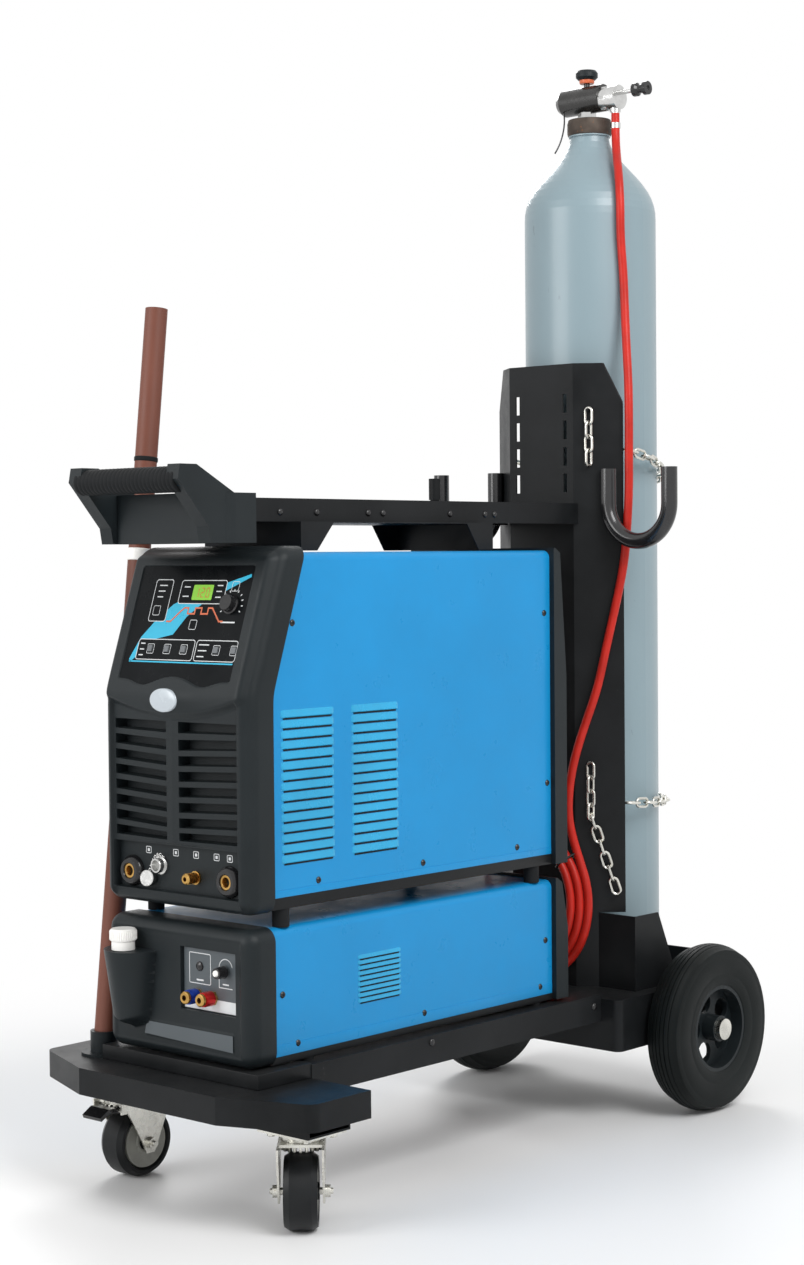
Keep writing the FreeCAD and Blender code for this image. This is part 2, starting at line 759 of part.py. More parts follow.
def caster(name, side):
    frame = caster_frame(side)
    crown_top = "caster_height - caster_plate_sheet - caster_race_depth - running_gap"
    inner = "(caster_width / 2 + caster_side_gap)"
    outer = "(caster_width / 2 + caster_side_gap + caster_leg_sheet)"
    crown = rod("-Z", ("0", "0", crown_top), "caster_race", "4")
    skirt = f"{crown_top} - caster_leg_skirt"
    profile = [("-caster_race + 2", crown_top), ("caster_trail + caster_leg_reach", crown_top),
               ("caster_trail + caster_leg_reach", skirt),
               ("caster_trail + 14", "caster_radius - 2"), ("caster_trail + 8", "caster_radius - 15"),
               ("caster_trail - 8", "caster_radius - 15"), ("caster_trail - 13", "caster_radius - 2")]
    legs = [prism("XZ_Plane", profile, f"-{outer}", "caster_leg_sheet"),
            prism("XZ_Plane", profile, inner, "caster_leg_sheet")]
    bridge = box(("-caster_race + 4", f"-{outer}", f"{crown_top} - 4"),
                 ("caster_race + 6", outer, crown_top))
    bore = rod("-Z", ("0", "0", f"{crown_top} + 1"), "caster_pin + bore_gap", "6")
    axle = rod("+Y", ("caster_trail", f"-{outer} - caster_head", "caster_radius"), "caster_axle",
               f"2 * {outer} + 2 * caster_head")
    heads = [rod("+Y", ("caster_trail", f"-{outer} - caster_head", "caster_radius"),
                 "caster_axle + 3.5", "caster_head"),
             rod("-Y", ("caster_trail", f"{outer} + caster_head", "caster_radius"),
                 "caster_axle + 3.5", "caster_head")]
    ears = [box(("-caster_race - 2", f"-{outer}", f"{crown_top} - 15"),
                ("-caster_race + 8", f"-{inner}", crown_top)),
            box(("-caster_race - 2", inner, f"{crown_top} - 15"),
                ("-caster_race + 8", outer, crown_top))]
    pivot_z = f"{crown_top} - 10"
    pivot = rod("+Y", ("-caster_race + 2", f"-{outer}", pivot_z), "2.5", f"2 * {outer}")
    fork = cut(fuse(crown, bridge, *legs, axle, *heads, *ears, pivot), bore)
    keep(f"{name}_caster_fork", put(fork, *frame))

    half = "caster_width / 2"
    wheel = turned("+Y", ("caster_trail", f"-{half}", "caster_radius"),
                   [("caster_axle + bore_gap", "-1.5"), ("12", "-1.5"), ("12", "5"),
                    ("caster_radius - 13", "5"), ("caster_radius - 10", "0"),
                    ("caster_radius - 5", "0"), ("caster_radius", "8"),
                    ("caster_radius", "caster_width - 8"),
                    ("caster_radius - 5", "caster_width"),
                    ("caster_radius - 10", "caster_width"),
                    ("caster_radius - 13", "caster_width - 5"), ("12", "caster_width - 5"),
                    ("12", "caster_width + 1.5"),
                    ("caster_axle + bore_gap", "caster_width + 1.5")])
    keep(f"{name}_caster_wheel", put(group(wheel), *frame))

    lever_x = "-caster_race + 2"
    eye = rod("+Y", (lever_x, "-pedal_width / 2", pivot_z), "5", "pedal_width")
    tread = prism("XZ_Plane", [(lever_x, f"{pivot_z} - 4"), (lever_x, f"{pivot_z} + 4"),
                               (f"{lever_x} - 18", f"{pivot_z} + 4"),
                               (f"{lever_x} - 34", f"{pivot_z} - 6"),
                               (f"{lever_x} - 32", f"{pivot_z} - 11"),
                               (f"{lever_x} - 17", f"{pivot_z} - 3")],
                  "-pedal_width / 2", "pedal_width")
    hole = rod("+Y", (lever_x, "-pedal_width / 2 - 1", pivot_z), "2.5 + bore_gap",
               "pedal_width + 2")
    keep(f"{name}_caster_pedal", put(cut(fuse(eye, tread), hole), *frame))


# --- gas cylinder and fittings --------------------------------------------------------
def gas_cylinder():
    base = "(box_top + sheet)"
    rise = "(gas_collar_base - gas_shoulder)"
    steps = 12
    dome = []
    for i in range(steps):
        share = i / steps
        narrow = (1 + math.cos(math.pi * share ** 1.2)) / 2
        dome.append((f"gas_neck + (gas_radius - gas_neck) * {narrow:.5f}",
                     f"gas_shoulder - {base} + {rise} * {share:.5f}"))
    shell = turned("+Z", ("0", "gas_y", base),
                   [("0", "0"), ("gas_radius - 14", "0"), ("gas_radius", "16"), *dome,
                    ("gas_neck", f"gas_collar_base - {base}"),
                    ("0", f"gas_collar_base - {base}")])
    inner = "(gas_radius - gas_wall)"
    steps = 8
    vault = []
    for i in range(steps + 1):
        turn = f"({i / steps} * 90)"
        vault.append((f"{inner} * cos({turn})", f"gas_vault - {base} + {inner} * sin({turn})"))
    hollow = turned("+Z", ("0", "gas_y", base),
                    [("0", "2 * gas_wall"), (f"{inner} - 14", "2 * gas_wall"),
                     (inner, "2 * gas_wall + 14"), *vault])
    ring = rod("+Z", ("0", "gas_y", "gas_collar_base - 1"), "gas_collar_radius",
               "gas_collar_top - gas_collar_base + 1")
    keep("gas_cylinder", fuse(cut(shell, hollow), ring))


def gas_fittings():
    neck = rod("+Z", ("handwheel_x", "gas_y", "gas_collar_top"), "11",
               "valve_z - gas_collar_top")
    barrel = rod("+X", ("valve_left + 10", "gas_y", "valve_z"), "valve_radius",
                 "valve_right - valve_left - 10")
    dome = cone("-X", ("valve_left + 10", "gas_y", "valve_z"), "valve_radius",
                "valve_radius - 7", "10")
    spindle = rod("+Z", ("handwheel_x", "gas_y", "valve_z"), "5",
                  "handwheel_top - 3 - valve_z")
    keep("cylinder_valve", fuse(neck, barrel, dome, spindle))

    wheel = turned("+Z", ("handwheel_x", "gas_y", "spindle_top"),
                   [("5 + bore_gap", "0"), ("handwheel_radius - 4", "0"),
                    ("handwheel_radius", "4"),
                    ("handwheel_radius", "handwheel_top - spindle_top - 4"),
                    ("handwheel_radius - 3", "handwheel_top - spindle_top"),
                    ("5 + bore_gap", "handwheel_top - spindle_top")])
    keep("valve_handwheel", wheel)

    body = rod("+X", ("valve_right", "gas_y", "valve_z - 3"), "regulator_radius",
               "regulator_end - valve_right")
    outlet = rod("-Z", ("outlet_x", "gas_y", "valve_z - 3"), "9",
                 "regulator_radius + 4")
    barb = rod("-Z", ("outlet_x", "gas_y", "valve_z - 3"),
               "outlet_radius", "valve_z - 3 - outlet_bottom")
    stem = rod("+X", ("regulator_end", "gas_y", "valve_z + 4"), "knob_spindle",
               "knob_start + knob_length - 3 - regulator_end")
    keep("regulator", fuse(body, outlet, barb, stem))

    waist = "knob_radius - 4"
    knob = turned("+X", ("knob_start", "gas_y", "valve_z + 4"),
                  [("knob_spindle + bore_gap", "0"), ("knob_radius", "0"), ("knob_radius", "7"),
                   (waist, "10"), (waist, "knob_length - 10"),
                   ("knob_radius", "knob_length - 7"), ("knob_radius", "knob_length"),
                   ("knob_spindle + bore_gap", "knob_length")])
    keep("regulator_knob", knob)


def chain_link(centre, along, normal):
    """A stadium-shaped link of round wire; `normal` is square to the link's plane."""
    wire = size("link_wire") / 2
    half = size("link_width") / 2 - wire
    straight = (size("link_pitch") - 2 * half) / 2
    across = normal.cross(along)
    near = centre - along * straight
    far = centre + along * straight
    path = Part.Wire([
        Part.LineSegment(near + across * half, far + across * half).toShape(),
        Part.Arc(far + across * half, far + along * half, far - across * half).toShape(),
        Part.LineSegment(far - across * half, near - across * half).toShape(),
        Part.Arc(near - across * half, near - along * half, near + across * half).toShape()])
    ring = Part.Wire(Part.makeCircle(wire, near + across * half, along))
    return path.makePipeShell([ring], True, False)


def chain_run(points):
    """Links laid end to end along close points, every other one turned a quarter."""
    reach = size("link_pitch") - size("link_wire") - size("link_gap")
    links = []
    start = points[0]
    for point in points[1:]:
        if (point - start).Length < reach:
            continue
        along = point - start
        along.normalize()
        side = along.cross(Vector(0, 0, 1)) if abs(along.z) < 0.9 else Vector(1, 0, 0)
        side.normalize()
        normal = side if len(links) % 2 else along.cross(side)
        links.append(chain_link(start + along * (reach / 2), along, normal))
        start = start + along * reach
    print("chain of", len(links), "links, left over", round((points[-1] - start).Length, 2))
    return links


def cylinder_chains():
    fold = math.radians(size("column_fold"))
    along = Vector(math.cos(fold), math.sin(fold), 0)
    behind = Vector(-math.sin(fold), math.cos(fold), 0)
    corner = Vector(size("column_half"), size("column_front"), 0)
    tip = corner + along * (size("column_wing") + size("hook_along")) + behind * size("hook_out")
    ring = size("gas_radius") + size("link_width") / 2 + 2
    links = []
    for z, slack in ((size("upper_chain_z"), size("upper_slack")),
                     (size("lower_chain_z"), size("lower_slack"))):
        right = Vector(tip.x, tip.y, z)
        lead = math.degrees(math.atan2(right.y - size("gas_y"), right.x))
        back = []
        steps = 4000
        for i in range(steps + 1):
            share = i / steps
            turn = math.radians(lead + (180 - 2 * lead) * share)
            blend = min(1.0, 5 * share, 5 * (1 - share))
            radius = blend * ring + (1 - blend) * math.hypot(right.x, right.y - size("gas_y"))
            radius = max(radius, ring)
            back.append(Vector(radius * math.cos(turn), size("gas_y") + radius * math.sin(turn),
                               z - slack * math.sin(math.pi * share)))
        links += chain_run(back)
        hang = Vector(size("eye_x"), size("column_front") + size("eye_out"), z + size("eye_rise"))
        links += chain_run([hang - Vector(0, 0, 0.5 * i) for i in range(181)])
    keep("cylinder_chains", made(Part.makeCompound(links)))


# --- gas hose -------------------------------------------------------------------------
def hose_points():
    """Where the hose turns between the regulator's outlet and its coil."""
    return [Vector(54, 458, 1636), Vector(54, 458, 1600), Vector(67, 443, 1566),
            Vector(92.5, 414, 1530), Vector(105.5, 400.5, 1482), Vector(104, 402.5, 1422),
            Vector(106.5, 407, 1362), Vector(111, 404, 1302), Vector(124, 390, 1242),
            Vector(138, 376, 1182), Vector(142.5, 370.5, 1122), Vector(142.5, 370, 1062),
            Vector(142, 370, 1004), Vector(139, 369, 950), Vector(138, 363, 894),
            Vector(128, 356, 834), Vector(115, 345, 761), Vector(108, 328, 687),
            Vector(95, 312, 632), Vector(86, 298, 584), Vector(85, 288, 539),
            Vector(94, 288, 492), Vector(94, 292, 449)]


def tail_points():
    """Where the hose turns between its coil and the welder's gas inlet."""
    x = size("inlet_x")
    z = size("inlet_z")
    y = size("case_rear") + size("rear_depth") + 12
    return [Vector(x, y, z), Vector(x, y + 36, z), Vector(x, y + 67, z - 18),
            Vector(x, y + 85, z - 49), Vector(x + 1, y + 85, z - 85),
            Vector(x + 4, y + 85, z - 112), Vector(x + 8, y + 85, z - 137)]


def smooth_tube(label, points, radius):
    """A round tube on straight runs joined by arcs; prints its radii and volume ratio."""
    edges = []
    radii = []
    here = points[0]
    for before, corner, after in zip(points, points[1:], points[2:]):
        back = before - corner
        ahead = after - corner
        reach = 0.45 * min(back.Length, ahead.Length)
        back.normalize()
        ahead.normalize()
        half = (math.pi - back.getAngle(ahead)) / 2
        bend = reach / math.tan(half)
        middle = back + ahead
        middle.normalize()
        centre = corner + middle * (bend / math.cos(half))
        entry = corner + back * reach
        exit_point = corner + ahead * reach
        edges.append(Part.LineSegment(here, entry).toShape())
        edges.append(Part.Arc(entry, centre - middle * bend, exit_point).toShape())
        here = exit_point
        radii.append(bend)
    edges.append(Part.LineSegment(here, points[-1]).toShape())
    path = Part.Wire(edges)
    ring = Part.Wire(Part.makeCircle(radius, points[0], points[1] - points[0]))
    tube = path.makePipeShell([ring], True, True)
    ratio = tube.Volume / (math.pi * radius ** 2 * path.Length)
    print(label, "length", round(path.Length), "radii", [round(r) for r in radii],
          "volume ratio", round(ratio, 4))
    return tube


def gas_hose():
    radius = size("hose_radius")
    keep("gas_hose", made(smooth_tube("gas_hose", hose_points(), radius)))
    keep("gas_hose_tail", made(smooth_tube("gas_hose_tail", tail_points(), radius)))
    ring = turned("+Y", ("0", "coil_y - coil_depth / 2", "coil_z"),
                  [("coil_inner", "8"), ("coil_inner + 8", "0"), ("coil_outer - 8", "0"),
                   ("coil_outer", "8"), ("coil_outer", "coil_depth - 8"),
                   ("coil_outer - 8", "coil_depth"), ("coil_inner + 8", "coil_depth"),
                   ("coil_inner", "coil_depth - 8")])
    keep("gas_hose_coil", ring)


# --- parts that the welder and the cooler share ---------------------------------------
def top_corner(low, high):
    """Test for the long upper corners of a case, between two heights."""
    def test(middle, along):
        return abs(along.y) > 0.9 and middle.z > (low + high) / 2
    return test


def cover(name, base, top, leaning):
    """A folded sheet over both sides and the top, standing on the chassis flanges."""
    def arch(inset, low, corner):
        half = f"(case_half - {inset})"
        points = [(f"-{half}", low), (half, low), (half, f"{top} - {inset}"),
                  (f"-{half}", f"{top} - {inset}")]
        return points, corner
    low = f"{base} + case_flange"
    test = top_corner(size(base), size(top))
    length = "case_rear - case_front"
    outer_points, corner = arch("0", low, "cover_corner")
    outer = prism("XZ_Plane", outer_points, "-case_rear", length, (corner, test))
    inner_points, corner = arch("thin_sheet", f"{low} - 1", "cover_corner - thin_sheet")
    inner = prism("XZ_Plane", inner_points, "-case_rear - 1", f"{length} + 2", (corner, test))
    shell = cut(outer, inner)
    if leaning:
        rise = f"({top} + 1 - lean_start)"
        wedge = prism("YZ_Plane", [("case_front - 2", "lean_start"), ("case_front", "lean_start"),
                                   (f"case_front + lean_depth * {rise} / ({top} - lean_start)",
                                    f"{top} + 1"), ("case_front - 2", f"{top} + 1")],
                      "-case_half - 1", "2 * case_half + 2")
        shell = cut(shell, wedge)
    keep(name, shell)


def chassis_tray(base, front_height, rear_height):
    """Floor, side flanges and end plates, before any hole is cut."""
    half = "case_half"
    floor = box((f"-{half}", "case_front", base), (half, "case_rear", f"{base} + thin_sheet"))
    left = box((f"-{half}", "case_front", base),
               (f"-{half} + thin_sheet", "case_rear", f"{base} + case_flange"))
    right = box((f"{half} - thin_sheet", "case_front", base),
                (half, "case_rear", f"{base} + case_flange"))
    reach = "case_half - thin_sheet - case_gap"
    plates = []
    for rise, start in ((front_height, "-case_front - thin_sheet"), (rear_height, "-case_rear")):
        top = f"{base} + {rise}"
        points = [(f"-({reach})", base), (reach, base), (reach, f"{top} - cover_corner"),
                  (f"{reach} - cover_corner", top), (f"-({reach} - cover_corner)", top),
                  (f"-({reach})", f"{top} - cover_corner")]
        plates.append(prism("XZ_Plane", points, start, "thin_sheet"))
    return fuse(floor, left, right, *plates)


def bezel_shell(profile, inner_profile, low, high):
    """A moulded end frame: a side profile across the case, hollow behind."""
    def long_corner(middle, along):
        face = size("case_front") - size("bezel_depth") + size("bezel_wall") + 1
        slope = size("lean_depth") / (size("welder_top") - size("lean_start"))
        lean = max(0, middle.z - size("lean_start")) * slope
        return abs(along.x) < 0.1 and middle.y < face + lean
    outer = prism("YZ_Plane", profile, "-bezel_half", "2 * bezel_half",
                  ("bezel_corner", long_corner))
    inner = prism("YZ_Plane", inner_profile, "-bezel_half + bezel_wall",
                  "2 * bezel_half - 2 * bezel_wall",
                  ("bezel_corner - bezel_wall", long_corner))
    return cut(outer, inner)


def rear_bezel(name, base, top):
    """A rear frame with a slightly bulging back and an open middle for the vent."""
    tall = f"({top} - {base})"
    profile = [("case_rear", base), ("case_rear + rear_depth", base),
               ("case_rear + rear_depth", f"{base} + 0.6 * {tall}"),
               ("case_rear + rear_depth - rear_slope", f"{top} - 4"),
               ("case_rear + rear_depth - rear_slope - 12", f"{top} + 4"),
               ("case_rear", f"{top} + 4")]
    frame = prism("YZ_Plane", profile, "-bezel_half", "2 * bezel_half")
    opening = box(("-bezel_half + 18", "case_rear - 1", f"{base} + 16"),
                  ("bezel_half - 18", "case_rear + rear_depth + 1", f"{top} - 16"))
    keep(name, cut(frame, opening))


# --- welder ---------------------------------------------------------------------------
def lean_slope():
    """How far the welder's upper front leans back for each millimetre of height."""
    return "(lean_depth / (welder_top - lean_start))"


def panel_frame(x, z, out="0"):
    """A point on the leaning control panel and the turn that faces out of it."""
    slope = size("lean_depth") / (size("welder_top") - size("lean_start"))
    tilt = math.degrees(math.atan(slope))
    rotation = Rotation(Vector(1, 0, 0), 90 - tilt)
    y = f"case_front - bezel_depth + ({z} - lean_start) * {lean_slope()}"
    y = f"{y} - ({out}) * cos(atan({lean_slope()}))"
    lift = f"{z} + ({out}) * sin(atan({lean_slope()}))"
    return x, y, lift, rotation


def welder_front():
    front = "case_front - bezel_depth"
    top = "welder_top + 3"
    slope = lean_slope()
    low = "welder_base - 4"
    profile = [("case_front", low), (front, low), (front, "lean_start"),
               (f"{front} + ({top} - lean_start) * {slope}", top),
               (f"case_front + ({top} - lean_start) * {slope}", top),
               ("case_front", "lean_start")]
    wall = "bezel_wall"
    inner = [("case_front + 1", f"{low} + {wall}"), (f"{front} + {wall}", f"{low} + {wall}"),
             (f"{front} + {wall}", "lean_start"),
             (f"{front} + {wall} + ({top} - {wall} - lean_start) * {slope}", f"{top} - {wall}"),
             (f"case_front + 1 + ({top} - {wall} - lean_start) * {slope}", f"{top} - {wall}"),
             ("case_front + 1", "lean_start")]
    shell = bezel_shell(profile, inner, low, top)
    recess = box(("-recess_half", f"{front} - 1", "recess_bottom"),
                 ("recess_half", "case_front", "recess_top"))
    tub = box(("-recess_half - 2", f"{front} + 1", "recess_bottom - 2"),
              ("recess_half + 2", f"{front} + recess_depth + 3", "recess_top + 2"))
    tub_hollow = box(("-recess_half", f"{front} - 1", "recess_bottom"),
                     ("recess_half", f"{front} + recess_depth", "recess_top"))
    slots = []
    for side in (-1, 1):
        for row in range(8):
            z = f"recess_top + grille_gap + {row} * grille_pitch"
            near = f"{side} * grille_rib"
            far = f"{side} * panel_half"
            slots.append(box((f"min({near}; {far})", f"{front} - 1", z),
                             (f"max({near}; {far})", f"{front} + {wall} + 1",
                              f"{z} + grille_slot")))
    sockets = []
    for x, z, radius in (("-socket_x", "socket_z", "dinse_radius - 4"),
                         ("socket_x", "socket_z", "dinse_radius - 4"),
                         ("fitting_x", "socket_z", "fitting_radius - 2"),
                         ("control_x", "control_z", "control_radius - 3")):
        sockets.append(rod("+Y", (x, f"{front} - 1", z), radius, "recess_depth + 6"))
    window_half = "panel_half - 6"
    window = prism("XY_Plane", [(f"-({window_half})", "6"), (window_half, "6"),
                                (window_half, "panel_end - panel_start - 12"),
                                (f"-({window_half})", "panel_end - panel_start - 12")],
                   "-bezel_wall - 6", "bezel_wall + 12")
    put(window, *panel_frame("0", "panel_start"))
    frame = fuse(cut(shell, recess), cut(tub, tub_hollow))
    keep("welder_front_bezel", cut(frame, *slots, *sockets, window))


def welder_panel():
    tall = "(panel_end - panel_start)"
    plate = prism("XY_Plane", [("-panel_half", "0"), ("panel_half", "0"),
                               ("panel_half", tall), ("-panel_half", tall)],
                  "0.2", "panel_sheet")
    put(plate, *panel_frame("0", "panel_start"))
    holes = []
    for x in BUTTON_SPOTS.values():
        hole = prism("XY_Plane", square("button_side / 2 + 0.3"), "-20", "40")
        holes.append(put(hole, *panel_frame(str(x), "button_z")))
    shaft = turned("+Z", ("0", "0", "0"), [("0", "-20"), ("3.1", "-20"), ("3.1", "20"),
                                           ("0", "20")])
    holes.append(put(shaft, *panel_frame("encoder_x", "encoder_z")))
    rear_half = "panel_half - 8"
    backing = prism("XY_Plane", [(f"-({rear_half})", "8"), (rear_half, "8"),
                                 (rear_half, f"{tall} - 14"), (f"-({rear_half})", f"{tall} - 14")],
                    "-5", "5.2")
    put(backing, *panel_frame("0", "panel_start"))
    keep("welder_control_panel", cut(fuse(plate, backing), *holes))


def square(half):
    return [(f"-({half})", f"-({half})"), (half, f"-({half})"), (half, half),
            (f"-({half})", half)]


BUTTON_SPOTS = {"button_one": "61 - panel_half", "button_two": "95 - panel_half",
                "button_three": "129 - panel_half", "button_four": "panel_half - 50",
                "button_five": "panel_half - 15"}


def welder_controls():
    face = "0.2 + panel_sheet"
    for name, x in BUTTON_SPOTS.items():
        cap = prism("XY_Plane", square("button_side / 2"), "-1", f"{face} + button_height + 1")
        put(cap, *panel_frame(str(x), "button_z"))
        keep(name, cap)
    knob = turned("+Z", ("0", "0", "0"),
                  [("0", "-2"), ("3", "-2"), ("3", f"{face} + 0.6"),
                   ("encoder_radius + 2", f"{face} + 0.6"), ("encoder_radius + 2", f"{face} + 3"),
                   ("encoder_radius", f"{face} + 4"),
                   ("encoder_radius - 1", f"{face} + encoder_height"),
                   ("0", f"{face} + encoder_height")])
    keep("encoder_knob", put(group(knob), *panel_frame("encoder_x", "encoder_z")))


def welder_sockets():
    """Two output sockets, a gas fitting and a control socket in the front recess."""
    face = "case_front - bezel_depth + recess_depth"
    pieces = []
    for x in ("-socket_x", "socket_x"):
        rim = rod("-Y", (x, face, "socket_z"), "dinse_radius", "9")
        barrel = rod("+Y", (x, face, "socket_z"), "dinse_radius - 4.2", "dinse_depth - 9")
        bore = rod("+Y", (x, f"{face} - 10", "socket_z"), "dinse_bore", "dinse_depth - 4")
        pieces.append(cut(fuse(rim, barrel), bore))
    nut = rod("-Y", ("fitting_x", face, "socket_z"), "fitting_radius", "6")
    nipple = rod("-Y", ("fitting_x", face, "socket_z"), "fitting_radius - 3", "14")
    tail = rod("+Y", ("fitting_x", face, "socket_z"), "fitting_radius - 2.2", "18")
    pieces.append(cut(fuse(nut, nipple, tail),
                      rod("+Y", ("fitting_x", f"{face} - 15", "socket_z"), "3", "12")))
    flange = rod("-Y", ("control_x", face, "control_z"), "control_radius", "3")
    sleeve = rod("-Y", ("control_x", face, "control_z"), "control_radius - 3", "11")
    back = rod("+Y", ("control_x", face, "control_z"), "control_radius - 3.2", "16")
    pieces.append(cut(fuse(flange, sleeve, back),
                      rod("+Y", ("control_x", f"{face} - 12", "control_z"),
                          "control_radius - 5", "8")))
    keep("welder_sockets", group(*pieces))


def welder_inside():
    floor = "welder_base + thin_sheet"
    posts = [box((f"{x} - 6", f"{y} - 6", floor), (f"{x} + 6", f"{y} + 6", f"{floor} + 30"))
             for x in (-95, 95) for y in (-330, 60)]
    spreader = box(("-110", "-350", f"{floor} + 30"), ("110", "80", f"{floor} + 42"))
    fins = [box((f"{x} - 1.5", "-350", f"{floor} + 42"), (f"{x} + 1.5", "80", f"{floor} + 95"))
            for x in range(-105, 106, 14)]
    board = box(("-112", "-352", f"{floor} + 95"), ("112", "82", f"{floor} + 97"))
    cores = [box(("-80", "-300", f"{floor} + 97"), ("-10", "-220", f"{floor} + 160")),
             box(("10", "-300", f"{floor} + 97"), ("80", "-220", f"{floor} + 160"))]
    cans = [rod("+Z", (str(x), "-60", f"{floor} + 97"), "18", "60") for x in (-60, -15, 30, 75)]
    keep("welder_power_stage", fuse(*posts, spreader, *fins, board, *cores, *cans))


def fan(label, z, radius, y):
    """A seven-bladed rotor that turns on a fixed pin along Y."""
    hub = turned("+Y", ("0", y, z), [("3 + bore_gap", "0"), ("16", "0"), ("16", "22"),
                                     ("3 + bore_gap", "22")])
    blades = []
    count = 7
    length = size(radius) - 14
    for i in range(count):
        blade = Part.makeBox(2, 16, length, Vector(-1, -8, 14))
        blade.rotate(Vector(), Vector(0, 0, 1), 38)
        blade.rotate(Vector(), Vector(0, 1, 0), 360 * i / count)
        blades.append(put(made(blade), "0", f"{y} + 11", z))
    keep(label, fuse(hub, *blades))


def fan_bracket(z, radius, y):
    """A cross of struts behind a fan with the pin that carries it."""
    upright = box(("-8", f"{y} + 24", f"{z} - {radius} - 10"),
                  ("8", f"{y} + 27", f"{z} + {radius} + 10"))
    across = box((f"-{radius} - 10", f"{y} + 24", f"{z} - 8"),
                 (f"{radius} + 10", f"{y} + 27", f"{z} + 8"))
    pin = rod("-Y", ("0", f"{y} + 27", z), "3", "25")
    stays = []
    for side in (-1, 1):
        x = f"{side} * ({radius} + 6)"
        stays.append(box((f"{x} - 4", f"{y} + 24", f"{z} - 8"),
                         (f"{x} + 4", "case_rear - thin_sheet", f"{z} + 8")))
    return upright, across, pin, *stays


def welder_case():
    cover("welder_cover", "welder_base", "welder_top", True)
    tray = chassis_tray("welder_base", "(lean_start - welder_base)",
                        "(welder_top - welder_base - 6)")
    fan_y = "case_rear - 60"
    vent = rod("+Y", ("0", "case_rear - 5", "welder_fan_z"), "welder_fan_radius - 4", "10")
    intake_z = "recess_top + intake_rise"
    intake = box(("-intake_half", "case_front - 1", intake_z),
                 ("intake_half", "case_front + thin_sheet + 1", f"{intake_z} + intake_height"))
    passages = []
    face = "case_front - bezel_depth + recess_depth"
    for x, z, radius in (("-socket_x", "socket_z", "dinse_radius"),
                         ("socket_x", "socket_z", "dinse_radius"),
                         ("fitting_x", "socket_z", "fitting_radius"),
                         ("control_x", "control_z", "control_radius")):
        passages.append(rod("+Y", (x, face, z), radius, "60"))
    switch_hole = rod("+Y", ("switch_x", "case_rear - 5", "switch_z"), "6 + bore_gap", "10")
    inlet = rod("+Y", ("inlet_x", "case_rear - 12", "inlet_z"), "6", "rear_depth + 24")
    inlet_nut = rod("+Y", ("inlet_x", "case_rear", "inlet_z"), "10", "10")
    frame = fuse(cut(tray, vent, intake, switch_hole, *passages), inlet, inlet_nut,
                 *fan_bracket("welder_fan_z", "welder_fan_radius", fan_y))
    keep("welder_chassis", frame)
    fan("welder_fan", "welder_fan_z", "welder_fan_radius", fan_y)
    rear_bezel("welder_rear_bezel", "welder_base", "welder_top")


def welder_rear_fittings():
    shaft = rod("+Y", ("switch_x", "case_rear - 18", "switch_z"), "6", "24")
    disc = rod("+Y", ("switch_x", "case_rear + 0.5", "switch_z"), "20", "6")
    grip = box(("switch_x - 4", "case_rear + 6", "switch_z - 18"),
               ("switch_x + 4", "case_rear + 20", "switch_z + 18"))
    keep("power_switch", fuse(shaft, disc, grip))


# --- cooler ---------------------------------------------------------------------------
def cooler_front():
    front = "(case_front - bezel_depth)"
    low = "cooler_base - 1"
    top = "cooler_top + 3"
    profile = [("case_front", low), (front, low), (front, top), ("case_front", top)]
    wall = "bezel_wall"
    inner = [("case_front + 1", f"{low} + {wall}"), (f"{front} + {wall}", f"{low} + {wall}"),
             (f"{front} + {wall}", f"{top} - {wall}"), ("case_front + 1", f"{top} - {wall}")]
    shell = bezel_shell(profile, inner, low, top)
    bulge = cone("+Z", ("filler_x", front, "filler_bottom"), "filler_foot_radius",
                 "filler_radius", "filler_top - filler_bottom")
    behind = box(("filler_x - 60", front, "filler_bottom - 5"),
                 ("filler_x + 60", f"{front} + 60", "filler_top + 5"))
    spout = fuse(cut(bulge, behind),
                 rod("+Z", ("filler_x", "filler_y", "filler_top"), "11", "8"))
    well = rod("-Z", ("filler_x", "filler_y", "filler_top + 9"), "8", "40")
    recess = box(("plate_left", f"{front} - 1", "plate_bottom"),
                 ("plate_right", f"{front} + bezel_wall + 1", "plate_top"))
    plate = box(("plate_left - 4", f"{front} + bezel_wall", "plate_bottom - 4"),
                ("plate_right + 4", f"{front} + bezel_wall + 2", "plate_top + 4"))
    holes = [rod("+Y", (x, f"{front} - 1", "coupling_z"), "coupling_radius - 3", "20")
             for x in ("blue_coupling_x", "red_coupling_x")]
    holes.append(rod("+Y", ("fuse_x", f"{front} - 1", "fuse_z"), "4 + bore_gap", "20"))
    frame = fuse(cut(shell, recess), spout, plate)
    keep("cooler_front_bezel", cut(frame, well, *holes))


